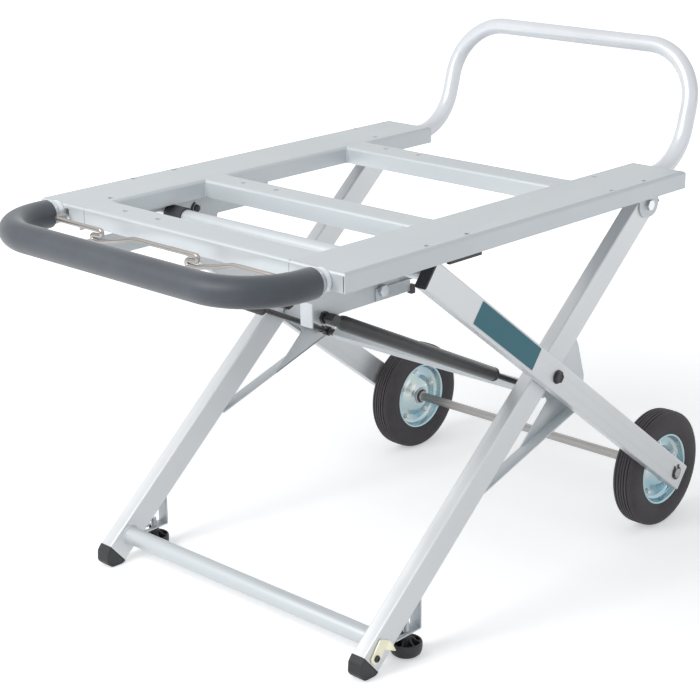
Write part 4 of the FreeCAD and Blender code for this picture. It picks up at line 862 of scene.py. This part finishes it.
# %% Foot caps
CAP = [(-528.05, 22.4, 0.6), (-540.5, 20.0, 9.0), (-552.2, 8.0, 8.0), (-553.6, -5.1, 15),
       (-534.4, -21.6, 14), (-528.05, -22.4, 0.3)]
shape = bmesh.new()
for sign in SIDES.values():
    slab(shape, rounded(CAP), beside(on_front_leg, sign), 273.9, 299.1, 1.6)
add_piece("leg_end_caps", to_mesh(shape), cap_plastic, "front_legs", ["foot_caps"])

# %% [markdown]
# The transport hook is a stamped plate in yellow zinc. It hangs on a black screw beside
# the near foot, and its claw reaches past the leg.

# %% Transport hook and its screw
HOOK_AT = -516.0
HOOK = [(-10, 9, 5), (-10, -7, 5), (12, -7, 2), (18.5, -3.5, 2), (23, -15, 3), (29.5, -30, 0.8),
        (32.5, -16, 6), (33.5, -4, 4), (25, 16, 3.5)]
shape = slab(bmesh.new(), rounded(HOOK), beside(on_front_leg, -1, (HOOK_AT, 0)), 299.3, 301.8, 0.4)
add_piece("hook_plate", to_mesh(shape), hook_zinc, "hook", ["transport_hook"])
SCREW = [(298.0, 0), (298.0, 3.0), (302.0, 3.0), (302.1, 5.6), (303.2, 5.4), (304.3, 4.2), (304.4, 2.6),
         (303.2, 2.2), (303.2, 0)]
shape = turned(bmesh.new(), SCREW, on_front_leg(HOOK_AT, 0, 0), (0, -1, 0), 24)
add_piece("hook_button_screw", to_mesh(shape), black_paint, "front_legs", ["hook_screw"])

# %% [markdown]
# A gusset stiffens each front leg behind the crossing. Its sheet lies on the leg's inner
# face, and its lower edge is folded outwards; the fold runs on by itself, under an open
# gap, until it meets the leg again.

# %% Gussets
SHEET = [(110, -8.4, 3), (96.6, -64.5, 12), (73, -118, 8), (56.2, -135.9, 6), (39.4, -135.9, 1),
         (-105.4, -73.5, 0.8), (-8, -72, 5), (-16, -40, 5), (-20, -8.4, 3)]
FLANGE = [(39.4, -135.9), (-224.0, -22.4), (-223.0, -20.1), (40.4, -133.6)]
for side, sign in SIDES.items():
    place = beside(on_front_leg, sign)
    shape = slab(bmesh.new(), rounded(SHEET), place, 271.5, 273.95, 0.4)
    slab(shape, FLANGE, place, 271.5, 293.5, 0.5)
    add_piece("gusset_sheet_" + side, to_mesh(shape), steel_silver, "front_legs",
              ["gusset_" + side])

# %% [markdown]
# The sheets that hold the tracks run on towards the rear above the slots. Inside the far
# one a dark bolt and a bent catch spring can be seen past the slide tube, and a small dark
# tab hangs under the front rail.

# %% Track tails and their bolts
TAIL = [(201.5, 605.5, 1), (400, 605.5, 1), (400, 567.5, 3), (285, 567.5, 1.5), (283.5, 558.7, 1.5),
        (201.5, 558.7, 1)]
SEAT = (239.6, 583.9)
curve = [(11.5 * math.cos(a), 11.5 * math.sin(a)) for a in [1.9 + 2.4 * step / 14 for step in range(15)]]
CATCH_SPRING = curve + [(0.8 * a, 0.8 * b) for a, b in reversed(curve)]
tails, bolts = bmesh.new(), bmesh.new()
for sign in SIDES.values():
    slab(tails, rounded(TAIL), beside(upright, sign), 235.8, 238.2, 0.3)
    head = [(231.2, 0), (231.2, 4.6), (232.0, 6.2), (235.9, 6.2), (235.9, 0)]
    turned(bolts, head, upright(*SEAT, 0), (0, sign, 0), 6)
    slab(bolts, CATCH_SPRING, beside(upright, sign, SEAT), 233.0, 235.9, 0.3)
add_piece("track_tails", to_mesh(tails), frame_silver, "frame")
add_piece("track_tail_bolts", to_mesh(bolts), black_paint, "frame")

# %% [markdown]
# The plate on the near wheel leg is left bare: a thin teal film with rounded corners on a
# slightly larger pale backing, which shows as a fine rim.

# %% Bare plate
for name, margin, low, high, film in (("plate_backing", 0.0, 321.0, 321.2, plate_rim),
                                      ("plate_face", 0.9, 321.15, 321.45, teal_film)):
    left, right, top, bottom = -244.5 + margin, -67 - margin, 19.6 - margin, -18.4 + margin
    corners = [(left, top, 2), (right, top, 2), (right, bottom, 2), (left, bottom, 2)]
    shape = slab(bmesh.new(), rounded(corners), beside(on_wheel_leg, -1), low, high, 0)
    add_piece(name, to_mesh(shape), film, "wheel_legs")

# %% [markdown]
# The top of the table is welded and ground flush, so no seam shows where a cross rail
# meets a side rail. Narrow fillings close those grooves from above. On the front face,
# thin black slabs paint the shade in each joint's gap as a fine dark line; a small dark
# tab under the front rail is made with them.

# %% Ground seams, painted shadow lines in the front joints, and a small tab
def block(shape, low, high):
    """Add a plain box between two corners, in millimetres from the frame's front face."""
    corners = [shape.verts.new(spot(*(pick[i] for i, pick in enumerate(picks))))
               for picks in itertools.product((low, high), repeat=3)]
    for face in ((0, 1, 3, 2), (4, 6, 7, 5), (0, 4, 5, 1), (2, 3, 7, 6), (0, 2, 6, 4), (1, 5, 7, 3)):
        shape.faces.new([corners[i] for i in face])


RAIL_INNER = 219.5
shape, shadow_lines_and_tab = bmesh.new(), bmesh.new()
for sign in SIDES.values():
    for start, end in ((3, 55), (249, 293), (577, 624)):
        block(shape, (start, sign * RAIL_INNER - 6, TOP_Z - 4), (end, sign * RAIL_INNER + 6, TOP_Z + 0.02))
    # painted shadow: thin black slabs on the front face, where each joint's gap is in shade
    for across, half in ((RAIL_INNER, 0.35), (321.2, 0.7)):
        block(shadow_lines_and_tab, (-0.04, sign * across - half, 606), (0.4, sign * across + half, 627.5))
add_piece("ground_seams", to_mesh(shape), frame_silver, "frame")
block(shadow_lines_and_tab, (20, 83, 597.5), (30, 89, 604.2))
add_piece("front_shadow_lines_and_tab", to_mesh(shadow_lines_and_tab), black_paint, "frame")

# %% [markdown]
# Welds join the rails of the top and the cross tube of the feet. A bead is a row of
# small overlapping drops along the joint, a little uneven. The tree spaces drops along
# a path and turns, stretches and scales each one with a fixed seed.

# %% Tree for weld beads
def weld_tree():
    tree, given, result = new_tree("weld_bead", {
        "Drop radius": ("Float", 0.0018), "Pitch": ("Float", 0.0016), "Seed": ("Int", 3),
        "Material": ("Material", None)})
    line = node(tree, "GeometryNodeMeshToCurve", Mesh=given["Geometry"])
    spaced = tree.nodes.new("GeometryNodeResampleCurve")
    spaced.mode = "LENGTH"
    put(tree, spaced.inputs["Curve"], line.outputs[0])
    put(tree, spaced.inputs["Length"], given["Pitch"])
    drop = node(tree, "GeometryNodeMeshIcoSphere", Radius=given["Drop radius"], Subdivisions=2)
    heading = tree.nodes.new("GeometryNodeInputTangent")
    facing = node(tree, "FunctionNodeAlignRotationToVector", Vector=heading.outputs[0])
    facing.axis = "X"
    uneven = node(tree, "FunctionNodeRandomValue", Seed=given["Seed"])
    amount = [socket for socket in uneven.outputs if socket.enabled][0]
    scale = node(tree, "ShaderNodeMapRange", Value=amount)
    put(tree, scale.inputs["To Min"], 0.85)
    put(tree, scale.inputs["To Max"], 1.15)
    stretch = node(tree, "ShaderNodeCombineXYZ", X=0.7, Y=scale.outputs[0], Z=scale.outputs[0])
    placed = node(tree, "GeometryNodeInstanceOnPoints", Points=spaced.outputs[0], Instance=drop.outputs[0],
                  Rotation=facing.outputs[0], Scale=stretch.outputs[0])
    end_tree(tree, given, result, placed.outputs[0])
    return tree


WELD_TREE = weld_tree()


def beads(name, chains, radius, material, body):
    """Weld beads along several chains of points, as one piece."""
    mesh = bpy.data.meshes.new("chains")
    points, edges = [], []
    for chain in chains:
        edges += [(len(points) + i, len(points) + i + 1) for i in range(len(chain) - 1)]
        points += chain
    mesh.from_pydata(points, edges, [])
    grown = grow(WELD_TREE, mesh, Drop_radius=radius * MM, Pitch=0.8 * radius * MM, Seed=3,
                 Material=material)
    return add_piece(name, grown, material, body, crease=60)


print("The weld tree has", len(WELD_TREE.nodes), "nodes")

# %% Weld beads
RAIL_FACES = (58, 246, 296, 574, 627)
corner_chains = [[spot(x, sign * RAIL_INNER, z) for z in (607, 624)]
                 for x in RAIL_FACES for sign in (1, -1)]
beads("rail_welds", corner_chains, 1.7, frame_silver, "frame")
foot_tube = on_front_leg(-490.7, 0, 0)
foot_rings = [[foot_tube + Vector((0, sign * 0.2738, 0)) + Vector((math.cos(a), 0, math.sin(a))) * 0.0153
               for a in [math.pi * step / 20 for step in range(41)]] for sign in (1, -1)]
beads("foot_tube_welds", foot_rings, 1.9, steel_silver, "front_legs")

# %% [markdown]
# The floor is plain and pale. For the camera it also glows a little, and more so far from
# the object, so that it meets the white background without a line, while the object's
# shadow still shows on it.

# %% Floor
def pale_floor():
    material, surface = shader("pale_floor", (0.86, 0.865, 0.87), 0.85)
    tree = material.node_tree
    rays = tree.nodes.new("ShaderNodeLightPath")
    seen = maths(tree, "MAXIMUM", rays.outputs["Is Camera Ray"], rays.outputs["Is Glossy Ray"])
    away = tree.nodes.new("ShaderNodeVectorMath")
    away.operation = "LENGTH"
    put(tree, away.inputs[0], object_place(tree))
    amount = maths(tree, "MULTIPLY", seen, ramp(tree, away.outputs["Value"], 0.9, 3.0, 0.44, 1.0))
    glow = node(tree, "ShaderNodeEmission", Color=(1, 1, 1, 1), Strength=amount)
    both = tree.nodes.new("ShaderNodeAddShader")
    output = tree.nodes["Material Output"]
    tree.links.new(surface.outputs[0], both.inputs[0])
    tree.links.new(glow.outputs[0], both.inputs[1])
    tree.links.new(both.outputs[0], output.inputs["Surface"])
    mesh = bpy.data.meshes.new("floor")
    reach = 14.0
    corners = [(-reach, -reach, 0), (reach, -reach, 0), (reach, reach, 0), (-reach, reach, 0)]
    mesh.from_pydata(corners, [], [(0, 1, 2, 3)])
    mesh.materials.append(material)
    floor = new_object("floor", mesh)
    floor.location.z = -0.0004
    return floor


pale_floor()
print("The floor is just under the feet")

# %% [markdown]
# Soft studio light: an even white world, one large lamp high on the camera's left and a
# weaker one on the right. The camera, mirrors and glass see the world as plain white.

# %% World and lamps
def studio(strength):
    world = bpy.data.worlds.new("studio")
    world.use_nodes = True
    tree = world.node_tree
    for old in list(tree.nodes):
        tree.nodes.remove(old)
    rays = tree.nodes.new("ShaderNodeLightPath")
    seen = rays.outputs["Is Camera Ray"]
    for kind in ("Is Glossy Ray", "Is Transmission Ray"):
        seen = maths(tree, "MAXIMUM", seen, rays.outputs[kind])
    light = node(tree, "ShaderNodeBackground", Color=(0.95, 0.975, 1.0, 1), Strength=strength)
    white = node(tree, "ShaderNodeBackground", Color=(1, 1, 1, 1), Strength=1.0)
    choice = tree.nodes.new("ShaderNodeMixShader")
    put(tree, choice.inputs[0], seen)
    tree.links.new(light.outputs[0], choice.inputs[1])
    tree.links.new(white.outputs[0], choice.inputs[2])
    output = tree.nodes.new("ShaderNodeOutputWorld")
    tree.links.new(choice.outputs[0], output.inputs["Surface"])
    bpy.context.scene.world = world


def lamp(name, place, target, size, power, colour=(1, 1, 1)):
    data = bpy.data.lights.new(name, "AREA")
    data.shape = "DISK"
    data.size = size
    data.energy = power
    data.color = colour
    item = new_object(name, data)
    item.location = place
    item.rotation_mode = "QUATERNION"
    item.rotation_quaternion = (Vector(target) - Vector(place)).to_track_quat("-Z", "Y")
    return item


studio(0.42)
lamp("key_lamp", (-2.6, 0.5, 2.3), (0, 0, 0.35), 1.5, 62)
lamp("side_lamp", (0.8, -3.2, 1.6), (0, 0, 0.35), 1.8, 3, (0.97, 0.98, 1.0))
bpy.context.scene.view_settings.view_transform = "Standard"
print("Two lamps and a world light the table")
